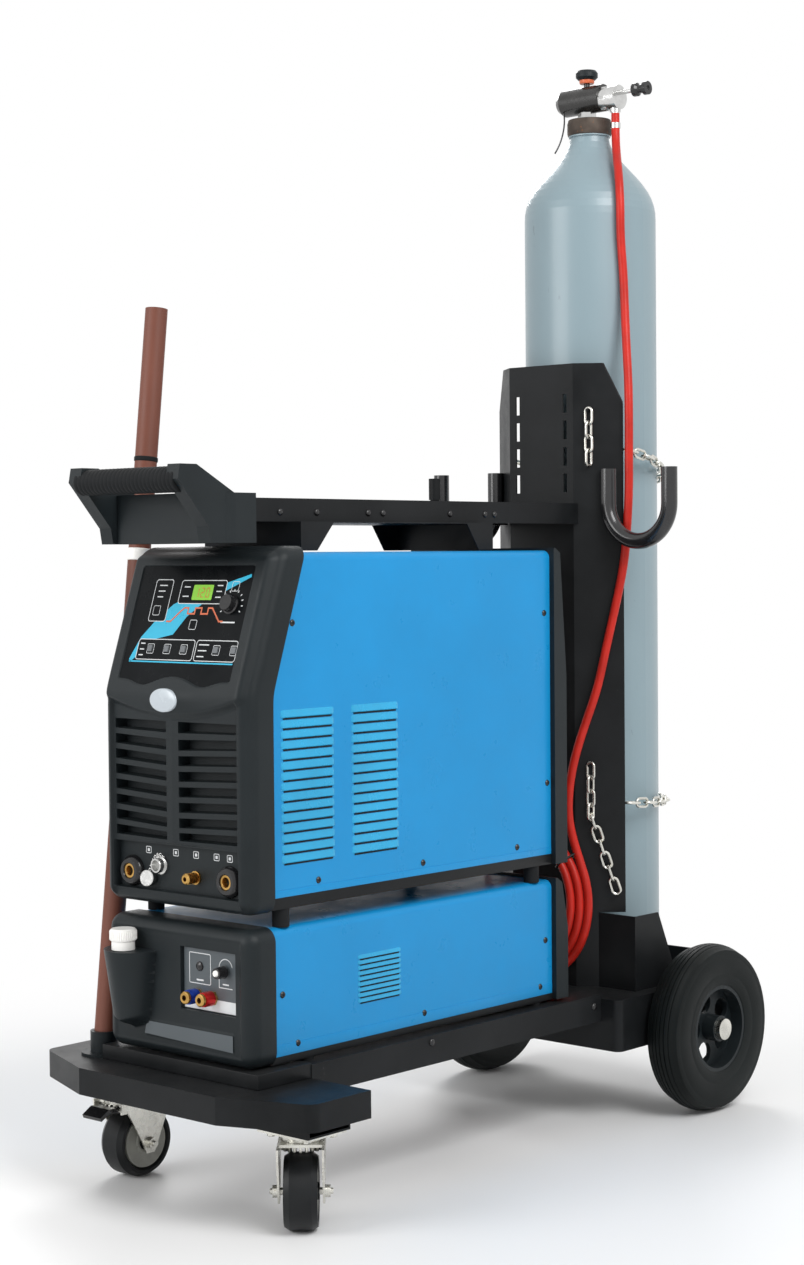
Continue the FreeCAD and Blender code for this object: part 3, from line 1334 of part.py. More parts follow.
def cooler_fittings():
    front = "(case_front - bezel_depth)"
    pair = []
    for x in ("blue_coupling_x", "red_coupling_x"):
        face = f"{front} + bezel_wall"
        collar = rod("-Y", (x, face, "coupling_z"), "coupling_radius", "coupling_reach - 8")
        nose = rod("-Y", (x, face, "coupling_z"), "coupling_radius - 3", "coupling_reach")
        tail = rod("+Y", (x, face, "coupling_z"), "coupling_radius - 3", "20")
        bore = rod("+Y", (x, f"{face} - coupling_reach - 1", "coupling_z"), "4", "20")
        pair.append(cut(fuse(collar, nose, tail), bore))
    keep("water_couplings", group(*pair))
    shaft = rod("+Y", ("fuse_x", f"{front} - 4", "fuse_z"), "4", "20")
    cap = cone("-Y", ("fuse_x", f"{front} + bezel_wall - 0.4", "fuse_z"), "fuse_radius",
               "fuse_radius - 1.5", "14")
    keep("fuse_cap", fuse(shaft, cap))
    low = "filler_top + 8.3"
    cap = turned("+Z", ("filler_x", "filler_y", "filler_top"),
                 [("11.3", "0.4"), ("filler_cap_radius - 2", "0.4"),
                  ("filler_cap_radius - 2", "12"), ("filler_cap_radius", "14"),
                  ("filler_cap_radius", "cap_height - 2"),
                  ("filler_cap_radius - 2", "cap_height"), ("0", "cap_height"),
                  ("0", "8.4"), ("11.3", "8.4")])
    keep("filler_cap", cap)


def cooler_case():
    cover("cooler_cover", "cooler_base", "cooler_top", False)
    tray = chassis_tray("cooler_base", "(cooler_top - cooler_base - 4)",
                        "(cooler_top - cooler_base - 4)")
    fan_y = "case_rear - 60"
    vent = rod("+Y", ("0", "case_rear - 5", "cooler_fan_z"), "cooler_fan_radius - 4", "10")
    opening = box(("0", "case_front - 1", "plate_bottom - 8"),
                  ("plate_right + 8", "case_front + thin_sheet + 1", "plate_top + 8"))
    keep("cooler_chassis", fuse(cut(tray, vent, opening),
                                *fan_bracket("cooler_fan_z", "cooler_fan_radius", fan_y)))
    fan("cooler_fan", "cooler_fan_z", "cooler_fan_radius", fan_y)
    rear_bezel("cooler_rear_bezel", "cooler_base", "cooler_top")


def cooler_inside():
    floor = "cooler_base + thin_sheet"
    tank = box(("tank_margin - case_half", "tank_front", floor),
               ("tank_inner", "tank_rear", "cooler_top - 30"))
    hollow = box(("tank_margin - case_half + tank_wall", "tank_front + tank_wall",
                  f"{floor} + tank_wall"),
                 ("tank_inner - tank_wall", "tank_rear - tank_wall",
                  "cooler_top - 30 - tank_wall"))
    keep("water_tank", cut(tank, hollow))
    motor = rod("+Y", ("60", "-300", f"{floor} + 46"), "38", "110")
    head = box(("30", "-345", floor), ("90", "-300", f"{floor} + 80"))
    foot = box(("35", "-290", floor), ("85", "-200", f"{floor} + 12"))
    keep("water_pump", fuse(motor, head, foot))
    half = "(case_half - radiator_margin)"
    frame = box((f"-{half}", "radiator_front", floor), (half, "radiator_rear", "cooler_top - 20"))
    inner = f"({half} - radiator_end)"
    gaps = []
    for row in range(11):
        low = f"{floor} + 12 + {row} * radiator_pitch"
        gaps.append(box((f"-{inner}", "radiator_front - 1", low),
                        (inner, "radiator_rear + 1", f"{low} + radiator_gap")))
    keep("radiator", cut(frame, *gaps))


def rubber_feet():
    feet = []
    for x in ("-foot_x", "foot_x"):
        for y in ("foot_front", "foot_rear"):
            feet.append(rod("-Z", (x, y, "cooler_base"), "foot_radius",
                            "cooler_base - rail_top"))
        for y in ("foot_front - 45", "foot_rear"):
            feet.append(rod("-Z", (x, y, "welder_base"), "foot_radius",
                            "welder_base - cooler_top"))
    keep("rubber_feet", group(*feet))


front_deck()
base_rails()
axle_box()
cylinder_tray()
column()
top_beam()
saddle_pan()
handle()
cable_hooks()
rod_tube()
rear_axle()
rear_wheel("left", -1)
rear_wheel("right", 1)
caster_plates()
caster("left", -1)
caster("right", 1)
gas_cylinder()
gas_fittings()
cylinder_chains()
gas_hose()
welder_front()
welder_panel()
welder_controls()
welder_sockets()
welder_inside()
welder_case()
welder_rear_fittings()
cooler_front()
cooler_fittings()
cooler_case()
cooler_inside()
rubber_feet()

doc.recompute()
for item in doc.Objects:
    if "Invalid" in item.State or "Error" in item.State:
        raise RuntimeError(f"{item.Name} {item.Label} failed: {item.State}")
for label, piece in parts.items():
    if piece.Shape.isNull() or not piece.Shape.isValid() or not piece.Shape.Solids:
        raise RuntimeError(f"{label} has no valid shape")
os.makedirs("parts", exist_ok=True)
for label, piece in parts.items():
    piece.Shape.exportStep(f"parts/{label}.step")
print(len(parts), "sub-parts written")
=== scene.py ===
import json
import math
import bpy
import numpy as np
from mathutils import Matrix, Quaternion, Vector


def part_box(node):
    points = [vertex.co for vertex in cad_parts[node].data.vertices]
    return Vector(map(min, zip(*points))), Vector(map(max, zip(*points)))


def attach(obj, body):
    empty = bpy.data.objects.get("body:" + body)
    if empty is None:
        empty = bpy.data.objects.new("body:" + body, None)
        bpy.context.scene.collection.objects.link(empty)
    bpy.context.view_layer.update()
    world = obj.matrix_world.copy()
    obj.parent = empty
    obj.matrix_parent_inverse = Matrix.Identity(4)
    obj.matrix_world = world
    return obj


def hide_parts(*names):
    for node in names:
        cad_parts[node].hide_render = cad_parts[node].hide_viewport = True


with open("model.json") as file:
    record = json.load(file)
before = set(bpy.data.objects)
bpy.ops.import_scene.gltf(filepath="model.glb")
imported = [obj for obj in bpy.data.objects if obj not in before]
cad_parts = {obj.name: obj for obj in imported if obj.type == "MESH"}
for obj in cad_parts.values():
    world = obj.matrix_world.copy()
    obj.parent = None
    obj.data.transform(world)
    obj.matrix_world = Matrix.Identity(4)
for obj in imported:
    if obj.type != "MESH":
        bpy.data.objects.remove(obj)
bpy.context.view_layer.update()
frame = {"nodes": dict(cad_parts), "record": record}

# %% [markdown]
# # A welder and its cooler on a gas-cylinder cart
# The CAD parts give the main sizes. This lesson dresses them: finishes made from
# procedural textures, then the small pieces that CAD leaves out, such as louvres,
# screws, prints and wheel discs. All lengths are metres, +Z is up and -Y is the front.

# %% [markdown]
# ## Shapes as number grids
# Each helper returns vertices and faces as arrays. A grid of points becomes quads by
# joining every point to its right and upper neighbours. Seams are closed by merging
# points that fall in the same place, and a negative volume means the faces look
# inwards, so they are turned over.

# %% Grids to meshes
def weld(verts, faces):
    """Points equal to a hundredth of a millimetre become one; the faces are renumbered to match.
    """
    keys = np.round(verts * 1e5).astype(np.int64)
    _, first, back = np.unique(keys, axis=0, return_index=True, return_inverse=True)
    return verts[first], back.reshape(-1)[faces]


def grid_faces(rows, cols, start=0):
    """Quad (i, j) joins points i, j to i+1, j+1 of a row-major grid."""
    i, j = np.meshgrid(np.arange(rows - 1), np.arange(cols - 1), indexing="ij")
    a = (i * cols + j).ravel() + start
    return np.stack([a, a + 1, a + cols + 1, a + cols], axis=1)


def grid(points):
    """A rows x cols x 3 array of points as vertices and quads."""
    rows, cols = points.shape[:2]
    return points.reshape(-1, 3), grid_faces(rows, cols)


def together(shapes):
    """Several shapes as one, with face numbers moved on by the points before them."""
    counts = np.cumsum([0] + [len(v) for v, f in shapes])
    return (np.concatenate([v for v, f in shapes]),
            np.concatenate([f + c for (v, f), c in zip(shapes, counts)]))


def basis(direction):
    """Two unit vectors square to a direction, and the direction itself."""
    w = np.asarray(direction, float)
    w = w / np.linalg.norm(w)
    helper = np.array([0.0, 0.0, 1.0]) if abs(w[2]) < 0.9 else np.array([1.0, 0.0, 0.0])
    u = np.cross(helper, w)
    u /= np.linalg.norm(u)
    return u, np.cross(w, u), w


def lathe(profile, start, direction, turns=48):
    """Each (radius, height) pair sweeps a circle: start + h w + r (cos t u + sin t v)."""
    profile = np.asarray(profile, float)
    u, v, w = basis(direction)
    t = np.linspace(0, 2 * np.pi, turns + 1)
    ring = np.cos(t)[:, None] * u + np.sin(t)[:, None] * v
    points = (np.asarray(start) + profile[:, None, 1:2] * w
              + profile[:, None, 0:1] * ring[None])
    return weld(*grid(points))


def tube(points, radius, turns=12, closed=False):
    """Circles along a line, each turned the least from the one before it."""
    points = np.asarray(points, float)
    ahead = np.roll(points, -1, axis=0) if closed else np.vstack([points[1:], points[-1:]])
    behind = np.roll(points, 1, axis=0) if closed else np.vstack([points[:1], points[:-1]])
    along = ahead - behind
    along /= np.linalg.norm(along, axis=1)[:, None]
    side = basis(along[0])[0]
    rings = []
    t = np.linspace(0, 2 * np.pi, turns + 1)
    for p, w in zip(points, along):
        side = side - w * side.dot(w)
        side /= np.linalg.norm(side)
        up = np.cross(w, side)
        rings.append(p + radius * (np.cos(t)[:, None] * side + np.sin(t)[:, None] * up))
    if closed:
        rings.append(rings[0])
        return weld(*grid(np.array(rings)))
    first = np.repeat(points[:1], turns + 1, axis=0)
    last = np.repeat(points[-1:], turns + 1, axis=0)
    return weld(*grid(np.array([first, *rings, last])))


def soft_box(centre, half, radius, steps=4):
    """A box whose points are pulled onto a sphere of the given radius at each corner."""
    half = np.asarray(half, float)
    radius = min(radius, 0.999 * half.min())
    edge = np.sin(np.linspace(0, np.pi / 4, steps + 1)) / np.sin(np.pi / 4)
    shapes = []
    for axis in range(3):
        a, b = (axis + 1) % 3, (axis + 2) % 3
        lines = []
        for k in (a, b):
            inner = half[k] - radius
            rise = inner + radius * edge
            lines.append(np.concatenate([-rise[::-1], rise]))
        for sign in (-1, 1):
            p = np.zeros((len(lines[0]), len(lines[1]), 3))
            p[..., a] = lines[0][:, None]
            p[..., b] = lines[1][None, :]
            p[..., axis] = sign * half[axis]
            core = np.clip(p, -(half - radius), half - radius)
            out = p - core
            out /= np.maximum(np.linalg.norm(out, axis=2, keepdims=True), 1e-9)
            v, f = grid(core + radius * out)
            shapes.append((v, f if sign > 0 else f[:, ::-1]))
    v, f = weld(*together(shapes))
    return v + np.asarray(centre), f


def turned(shape, angle, axis, centre):
    """A shape turned by an angle in degrees about an axis through a centre."""
    v, f = shape
    u = np.asarray(axis, float) / np.linalg.norm(axis)
    c, s = math.cos(math.radians(angle)), math.sin(math.radians(angle))
    p = v - np.asarray(centre)
    q = p * c + np.cross(u, p) * s + np.outer(p @ u, u) * (1 - c)
    return q + np.asarray(centre), f


def volume(v, f):
    """Signed volume: one sixth of the sum of a . (b x c) over the triangles."""
    a, b, c, d = (v[f[:, k]] for k in range(4))
    return (np.einsum("ij,ij->i", a, np.cross(b, c)).sum()
            + np.einsum("ij,ij->i", a, np.cross(c, d)).sum()) / 6


def placed(name, data):
    """A new object in the scene, left at the origin."""
    obj = bpy.data.objects.new(name, data)
    bpy.context.scene.collection.objects.link(obj)
    return obj


def build(name, shapes, finish, body="cart", smooth=35):
    """One object from one or more shapes, facing outwards, riding on its body."""
    solids = []
    for v, f in shapes:
        solids.append((v, f[:, ::-1] if volume(v - v.mean(axis=0), f) < 0 else f))
    v, f = together(solids)
    corners = [row[np.r_[True, np.diff(row) != 0] & ~((row == row[0])
               & (np.arange(4) == 3))] for row in f]
    corners = [row for row in corners if len(row) > 2]
    mesh = bpy.data.meshes.new(name)
    mesh.from_pydata(v.tolist(), [], [row.tolist() for row in corners])
    mesh.update()
    mesh.shade_smooth()
    mesh.set_sharp_from_angle(angle=math.radians(smooth))
    obj = placed(name, mesh)
    mesh.materials.append(finish)
    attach(obj, body)
    print(name, len(mesh.polygons), "faces")
    return obj


# %% [markdown]
# ## Finishes
# Painted steel, moulded plastic, rubber and brass differ in colour and gloss, and none
# of them is even. A painted picture could show that, but each piece would have to be
# unwrapped first. Noise in the object's own coordinates needs no unwrapping: broad
# patches change the colour and the roughness a little, fine grain makes the bump, wear
# shows a second colour where a noise passes a limit, and dust lies on what faces up.

# %% A finish from layers of noise
# One noise, spread between two numbers, is all that a layer needs: the same pair of
# helpers makes the patches, the wear and the dust.
def finish(name, colour, rough=0.4, metal=0.0, patch=0.08, patch_size=6.0, grain=0.1,
           grain_size=900.0, wear=None, wear_amount=0.0, wear_size=18.0, stretch=(1, 1, 1),
           coat=0.0, dust=0.0, shine=0.5):
    """Colour and roughness follow slow noise and the bump fast noise; wear is a second
    colour where a noise passes a limit, dust one that grows as the surface faces up."""
    mat = bpy.data.materials.new(name)
    mat.use_nodes = True
    tree = mat.node_tree
    nodes, links = tree.nodes, tree.links
    shader = nodes["Principled BSDF"]
    where = nodes.new("ShaderNodeTexCoord")
    spread = nodes.new("ShaderNodeMapping")
    spread.inputs["Scale"].default_value = stretch
    links.new(where.outputs["Object"], spread.inputs["Vector"])

    def noise(size, detail=4.0, rough_noise=0.6):
        node = nodes.new("ShaderNodeTexNoise")
        node.inputs["Scale"].default_value = size
        node.inputs["Detail"].default_value = detail
        node.inputs["Roughness"].default_value = rough_noise
        links.new(spread.outputs["Vector"], node.inputs["Vector"])
        return node.outputs["Fac"]

    def span(value, low, high, to_low, to_high):
        node = nodes.new("ShaderNodeMapRange")
        node.inputs["From Min"].default_value = low
        node.inputs["From Max"].default_value = high
        node.inputs["To Min"].default_value = to_low
        node.inputs["To Max"].default_value = to_high
        links.new(value, node.inputs["Value"])
        return node.outputs["Result"]

    def mix(factor, first, second):
        node = nodes.new("ShaderNodeMix")
        node.data_type = "RGBA"
        links.new(factor, node.inputs[0])
        for value, socket in ((first, node.inputs[6]), (second, node.inputs[7])):
            if isinstance(value, tuple):
                socket.default_value = (*value, 1.0)
            else:
                links.new(value, socket)
        return node.outputs[2]

    broad = noise(patch_size)
    darker = tuple(c * (1 - patch) for c in colour)
    lighter = tuple(min(1.0, c * (1 + patch) + 0.02 * patch) for c in colour)
    shade = mix(span(broad, 0.3, 0.7, 0, 1), darker, lighter)
    roughness = span(noise(patch_size * 4), 0.3, 0.7, max(0.02, rough - 0.06), rough + 0.06)
    if wear:
        limit = 0.72 - 0.22 * wear_amount
        mask = span(noise(wear_size, 8.0, 0.7), limit, limit + 0.03, 0, 1)
        shade = mix(mask, shade, wear)
    if dust:
        facing = nodes.new("ShaderNodeNewGeometry")
        split = nodes.new("ShaderNodeSeparateXYZ")
        links.new(facing.outputs["Normal"], split.inputs["Vector"])
        cover = nodes.new("ShaderNodeMath")
        cover.operation = "MULTIPLY"
        links.new(span(split.outputs["Z"], 0.2, 1.0, 0, dust), cover.inputs[0])
        links.new(span(noise(30.0, 6.0), 0.35, 0.75, 0.2, 1), cover.inputs[1])
        shade = mix(cover.outputs[0], shade, (0.42, 0.40, 0.37))
    bump = nodes.new("ShaderNodeBump")
    bump.inputs["Strength"].default_value = grain
    bump.inputs["Distance"].default_value = 0.0006
    links.new(noise(grain_size, 3.0), bump.inputs["Height"])
    links.new(bump.outputs["Normal"], shader.inputs["Normal"])
    links.new(shade, shader.inputs["Base Color"])
    links.new(roughness, shader.inputs["Roughness"])
    shader.inputs["Metallic"].default_value = metal
    shader.inputs["Coat Weight"].default_value = coat
    shader.inputs["Coat Roughness"].default_value = 0.08
    shader.inputs["Specular IOR Level"].default_value = shine
    return mat


# %% The finishes this cart needs
FINISH = {
    "black_steel": finish("black_steel", (0.008, 0.009, 0.010), 0.36, patch=0.25, grain=0.25,
                          grain_size=1400, wear=(0.03, 0.03, 0.03), wear_amount=0.1,
                          dust=0.02, shine=0.14),
    "blue_paint": finish("blue_paint", (0.006, 0.250, 0.560), 0.32, patch=0.05, grain=0.18,
                         grain_size=1600, shine=0.3),
    # A lighter, glossier copy of blue_paint for the louvres: painted sheen, since the louvres
    # share the case's paint.
    "louvre_painted_sheen": finish("louvre_painted_sheen", (0.006, 0.330, 0.600), 0.24, patch=0.12, grain=0.15,
                          grain_size=1600, coat=0.15),
    "inner_zinc": finish("inner_zinc", (0.16, 0.13, 0.12), 0.45, 0.6, patch=0.12,
                         patch_size=14, grain=0.1, wear=(0.10, 0.06, 0.05), wear_amount=0.4),
    "dark_plastic": finish("dark_plastic", (0.010, 0.014, 0.016), 0.40, patch=0.12,
                           grain=0.3, grain_size=2200, dust=0.01, shine=0.2),
    "gloss_black": finish("gloss_black", (0.010, 0.010, 0.011), 0.18, patch=0.2, grain=0.03),
    "panel_black": finish("panel_black", (0.003, 0.004, 0.005), 0.25, patch=0.2, grain=0.02,
                          shine=0.08),
    "button_grey": finish("button_grey", (0.12, 0.13, 0.14), 0.4, grain=0.1),
    "white_plastic": finish("white_plastic", (0.90, 0.89, 0.86), 0.35, patch=0.05, grain=0.1,
                            wear=(0.74, 0.71, 0.64), wear_amount=0.3),
    "rubber_black": finish("rubber_black", (0.009, 0.010, 0.011), 0.7, grain=0.3,
                           grain_size=1200, dust=0.03, shine=0.15),
    "tyre_black": finish("tyre_black", (0.005, 0.007, 0.007), 0.50, patch=0.3, grain=0.3,
                         grain_size=700, wear=(0.03, 0.029, 0.026), wear_amount=0.15,
                         dust=0.02, shine=0.12),
    "caster_tyre": finish("caster_tyre", (0.006, 0.007, 0.008), 0.38, patch=0.3, grain=0.2,
                          wear=(0.05, 0.048, 0.043), wear_amount=0.2, dust=0.02, shine=0.2),
    "wheel_grey": finish("wheel_grey", (0.30, 0.30, 0.27), 0.5, patch=0.15, patch_size=40,
                         grain=0.2, wear=(0.18, 0.17, 0.15), wear_amount=0.35, wear_size=90),
    "bright_zinc": finish("bright_zinc", (0.66, 0.65, 0.60), 0.28, 1.0, patch=0.2,
                          patch_size=30, grain=0.15, wear=(0.40, 0.36, 0.26), wear_amount=0.4,
                          wear_size=60),
    "hook_black": finish("hook_black", (0.010, 0.010, 0.011), 0.22, grain=0.08, coat=0.3),
    "tube_brown": finish("tube_brown", (0.142, 0.044, 0.026), 0.5, patch=0.2, patch_size=12,
                         grain=0.3, grain_size=600, wear=(0.08, 0.035, 0.025),
                         wear_amount=0.35, stretch=(1, 1, 0.3), shine=0.35),
    "bottle_blue": finish("bottle_blue", (0.225, 0.305, 0.340), 0.34, patch=0.08,
                          patch_size=3, grain=0.12, grain_size=300,
                          wear=(0.17, 0.225, 0.25), wear_amount=0.25, wear_size=40,
                          stretch=(1, 1, 0.35), coat=0.1),
    "valve_brass": finish("valve_brass", (0.52, 0.31, 0.09), 0.32, 1.0, patch=0.2,
                          patch_size=60, grain=0.1, wear=(0.20, 0.11, 0.04), wear_amount=0.3,
                          wear_size=90),
    "valve_black": finish("valve_black", (0.014, 0.013, 0.012), 0.3, 0.0, patch=0.3,
                          patch_size=60, grain=0.12, wear=(0.06, 0.045, 0.03),
                          wear_amount=0.2, wear_size=90, coat=0.2),
    "regulator_metal": finish("regulator_metal", (0.62, 0.62, 0.61), 0.2, 1.0, patch=0.1,
                              patch_size=60, grain=0.05),
    "hose_red": finish("hose_red", (0.50, 0.018, 0.010), 0.38, patch=0.15, patch_size=20,
                       grain=0.2, grain_size=900, dust=0.02, shine=0.25),
    "radiator_metal": finish("radiator_metal", (0.5, 0.5, 0.5), 0.4, 1.0, grain=0.2),
    "tank_plastic": finish("tank_plastic", (0.70, 0.70, 0.66), 0.4, grain=0.1),
}
FINISH["neck_iron"] = finish("neck_iron", (0.060, 0.045, 0.035), 0.6, 0.6, patch=0.4,
                             patch_size=50, grain=0.4, wear=(0.16, 0.07, 0.03),
                             wear_amount=0.5, wear_size=70)
print(len(FINISH), "finishes")

# %% Dress the CAD parts
for part in frame["record"]["subparts"]:
    obj = frame["nodes"][part["node"]]
    obj.data.materials.clear()
    obj.data.materials.append(FINISH[part["material_slot"]])
NO_BEVEL = ("cylinder_chains", "gas_hose", "gas_hose_coil", "gas_hose_tail")
EDGE_WIDTH = {"front_deck": 0.0018, "handle_housing": 0.0030, "axle_box": 0.0015,
              "cylinder_tray": 0.0015, "base_rails": 0.0013, "column": 0.0012,
              "top_beam": 0.0012}
rounded = 0
for name, obj in frame["nodes"].items():
    if name in NO_BEVEL:
        continue
    edge = obj.modifiers.new("soft edges", "BEVEL")
    edge.width = EDGE_WIDTH.get(name, 0.0008)
    edge.segments = 2
    edge.limit_method = "ANGLE"
    edge.angle_limit = math.radians(40)
    edge.harden_normals = True
    rounded += 1
print("soft edges on", rounded)

# %% [markdown]
# ## Moulded front frames
# Both fronts are plastic mouldings, full of soft steps that a few extrusions would miss.
# A frame starts as a box whose points are pulled onto rounded corners. The welder's
# upper half then leans back, and a relief function pushes each front point in or out:
# grille slots, the socket recess, the raised surround of the display. Grid lines are
# packed round each edge so that a step stays sharp.

# %% Sizes of the two front frames
cover = [np.array(c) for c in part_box("welder_cover")]
face_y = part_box("welder_front_bezel")[0][1]
back_y = cover[0][1]
half_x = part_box("welder_front_bezel")[1][0]
lean_z, lean_slope, lean_blend = 0.718, 65 / 194, 0.008
FACING, FACING_BLEND = 0.86, 0.28
print("front face at y", round(face_y, 3), "half width", round(half_x, 3))


def step(value, edge, width=0.0012):
    """0 below an edge, 1 above it, with a cubic ease between."""
    t = np.clip((value - edge) / width + 0.5, 0, 1)
    return t * t * (3 - 2 * t)


def between(value, low, high, width=0.0012):
    """1 from a low edge to a high edge, and 0 outside them."""
    return step(value, low, width) * (1 - step(value, high, width))


def lines(low, high, pitch, edges):
    """Even lines with a close pair on each side of every edge."""
    even = np.arange(low, high, pitch)
    packed = np.concatenate([np.asarray(edges) + d for d in (-0.0007, 0.0007)])
    packed = packed[(packed > low) & (packed < high)]
    even = even[np.abs(even[:, None] - packed[None]).min(axis=1) > 0.0004]
    return np.unique(np.concatenate([even, packed, [low, high]]))


def moulded_frame(x_lines, z_lines, radius, relief, bend, lean):
    """Five sides of a rounded box. The relief fades out where the front's rounded edge
    turns away, and above lean_z a hyperbola blends the upright face into the slope."""
    low = np.array([-half_x, face_y, z_lines[0]])
    high = np.array([half_x, back_y + 2 * radius, z_lines[-1]])
    y_lines = np.concatenate([np.linspace(face_y, face_y + radius, 8),
                              [back_y - 0.004, back_y + 0.001]])
    shapes = []
    for axis, level, a_lines, b_lines in (
            (1, face_y, x_lines, z_lines), (0, -half_x, y_lines, z_lines),
            (0, half_x, y_lines, z_lines), (2, low[2], x_lines, y_lines),
            (2, high[2], x_lines, y_lines)):
        first, second = [k for k in range(3) if k != axis]
        p = np.zeros((len(a_lines), len(b_lines), 3))
        p[..., axis] = level
        p[..., first] = a_lines[:, None]
        p[..., second] = b_lines[None, :]
        core = np.clip(p, low + radius, high - radius)
        out = p - core
        out /= np.maximum(np.linalg.norm(out, axis=2, keepdims=True), 1e-9)
        q = core + radius * out
        front = step(-out[..., 1], FACING, FACING_BLEND)
        q[..., 1] -= relief(p[..., 0], p[..., 2]) * front * (axis == 1)
        q[..., 2] += bend(p[..., 0], p[..., 2])
        if lean:
            over = q[..., 2] - lean_z
            q[..., 1] += lean_slope * 0.5 * (over + np.sqrt(over ** 2 + lean_blend ** 2))
        shapes.append(grid(q))
    return weld(*together(shapes))


# %% The welder's front frame
ROWS, FIRST_ROW, ROW_PITCH, SLOT_HEIGHT = 8, 0.516, 0.0215, 0.0125
row_low = FIRST_ROW + ROW_PITCH * np.arange(ROWS)
row_high = row_low + SLOT_HEIGHT
RECESS_LOW, RECESS_HIGH, RECESS_DEEP = 0.441, 0.506, 0.0115
FRAME_LOW, FRAME_HIGH, WINDOW_TOP = 0.420, 0.921, 0.893
SIDE_X = 0.125
SMILE_LOW, SMILE_RISE = 0.687, 0.020


def smile(x):
    """The parabola where the upper half of the frame stands out from the grille."""
    return SMILE_LOW + SMILE_RISE * (x / SIDE_X) ** 2


def display_low(x):
    """The display's lower edge: two dips and a hump over the badge."""
    return (0.738 - 0.0085 * np.exp(-((np.abs(x) - 0.060) / 0.026) ** 2)
            + 0.004 * np.exp(-(x / 0.030) ** 2))


def welder_relief(x, z):
    """Metres outward: raised top and border, sunk display window, slots and recess."""
    a = np.abs(x)
    upper = step(z, smile(x), 0.012)
    band = step(a, 0.127, 0.004)
    out = 0.0075 * upper + 0.0035 * band * (1 - upper) - 0.002 * (1 - upper) * (1 - band)
    window = between(a, -0.1, 0.112, 0.004) * step(z, display_low(x), 0.004)
    window = window * (1 - step(z, WINDOW_TOP, 0.005))
    out = out - 0.0065 * window
    out = out + 0.004 * np.exp(-((x / 0.05) ** 2 + ((z - 0.712) / 0.018) ** 2)) * upper
    slots = sum(between(z, lo, hi) for lo, hi in zip(row_low, row_high))
    column = between(a, 0.013, 0.122)
    proud = 0.005 * (1 - a / SIDE_X).clip(0, 1) * (1 - upper) * step(z, 0.509, 0.004)
    out = out + proud - 0.020 * slots * column
    recess = between(a, -0.1, 0.126) * between(z, RECESS_LOW, RECESS_HIGH)
    return out - (RECESS_DEEP + out) * recess


def welder_bend(x, z):
    """The grille's slats hang 5 mm lower at the centre rib than at the sides."""
    share = between(z, 0.524, 0.664, 0.034)
    return -0.005 * (1 - np.abs(x) / SIDE_X).clip(0, 1) * share


edges_x = [-0.126, -0.122, -0.013, 0.013, 0.122, 0.126]
edges_z = [RECESS_LOW, RECESS_HIGH, *row_low, *row_high]
frame_shape = moulded_frame(lines(-half_x, half_x, 0.0019, edges_x),
                            lines(FRAME_LOW, FRAME_HIGH, 0.0019, edges_z), 0.021,
                            welder_relief, welder_bend, True)
welder_frame = build("welder_front_frame", [frame_shape], FINISH["dark_plastic"],
                     smooth=50)
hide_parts("welder_front_bezel")

# %% The cooler's front frame with its filler bulge
filler_x = -0.087
bulge_low, bulge_high = 0.254, 0.356


def cooler_relief(x, z):
    """Metres outward: a half cone under the filler cap, and a sunk connection plate."""
    radius = 0.030 + 0.014 * ((z - bulge_low) / (bulge_high - bulge_low)).clip(0, 1)
    round_out = np.sqrt(np.maximum(radius ** 2 - (x - filler_x) ** 2, 0))
    foot = step(z, bulge_low - 0.004 + 0.012 * np.abs(x - filler_x) / 0.04, 0.016)
    bulge = round_out * foot * (1 - step(z, bulge_high, 0.0014))
    recess = between(x, 0.008, 0.116) * between(z, 0.282, 0.368)
    rim = between(x, -0.066, 0.112, 0.003) * between(z, 0.236, 0.258, 0.003)
    groove = between(np.abs(x), -0.1, 0.127, 0.006) * between(z, 0.226, 0.385, 0.006)
    return bulge - 0.0075 * recess - 0.0015 * groove + 0.001 * rim


bulge_edges = [filler_x - 0.044, filler_x - 0.042, filler_x + 0.042, filler_x + 0.044]
frame_shape = moulded_frame(lines(-half_x, half_x, 0.0018, [0.008, 0.116, *bulge_edges]),
                            lines(0.2105, 0.401, 0.0018, [0.282, 0.368, bulge_high]), 0.021,
                            cooler_relief, lambda x, z: 0 * x, False)
cooler_frame = build("cooler_front_frame", [frame_shape], FINISH["dark_plastic"],
                     smooth=50)
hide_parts("cooler_front_bezel")

# %% [markdown]
# ## Louvres pressed into the side sheets
# One louvre is a scoop: its height rises from the top edge, is greatest near the lower
# edge and drops steeply there, and it fades at both ends. A bump texture could fake it,
# but real relief catches the light in bands. A whole column is one grid.

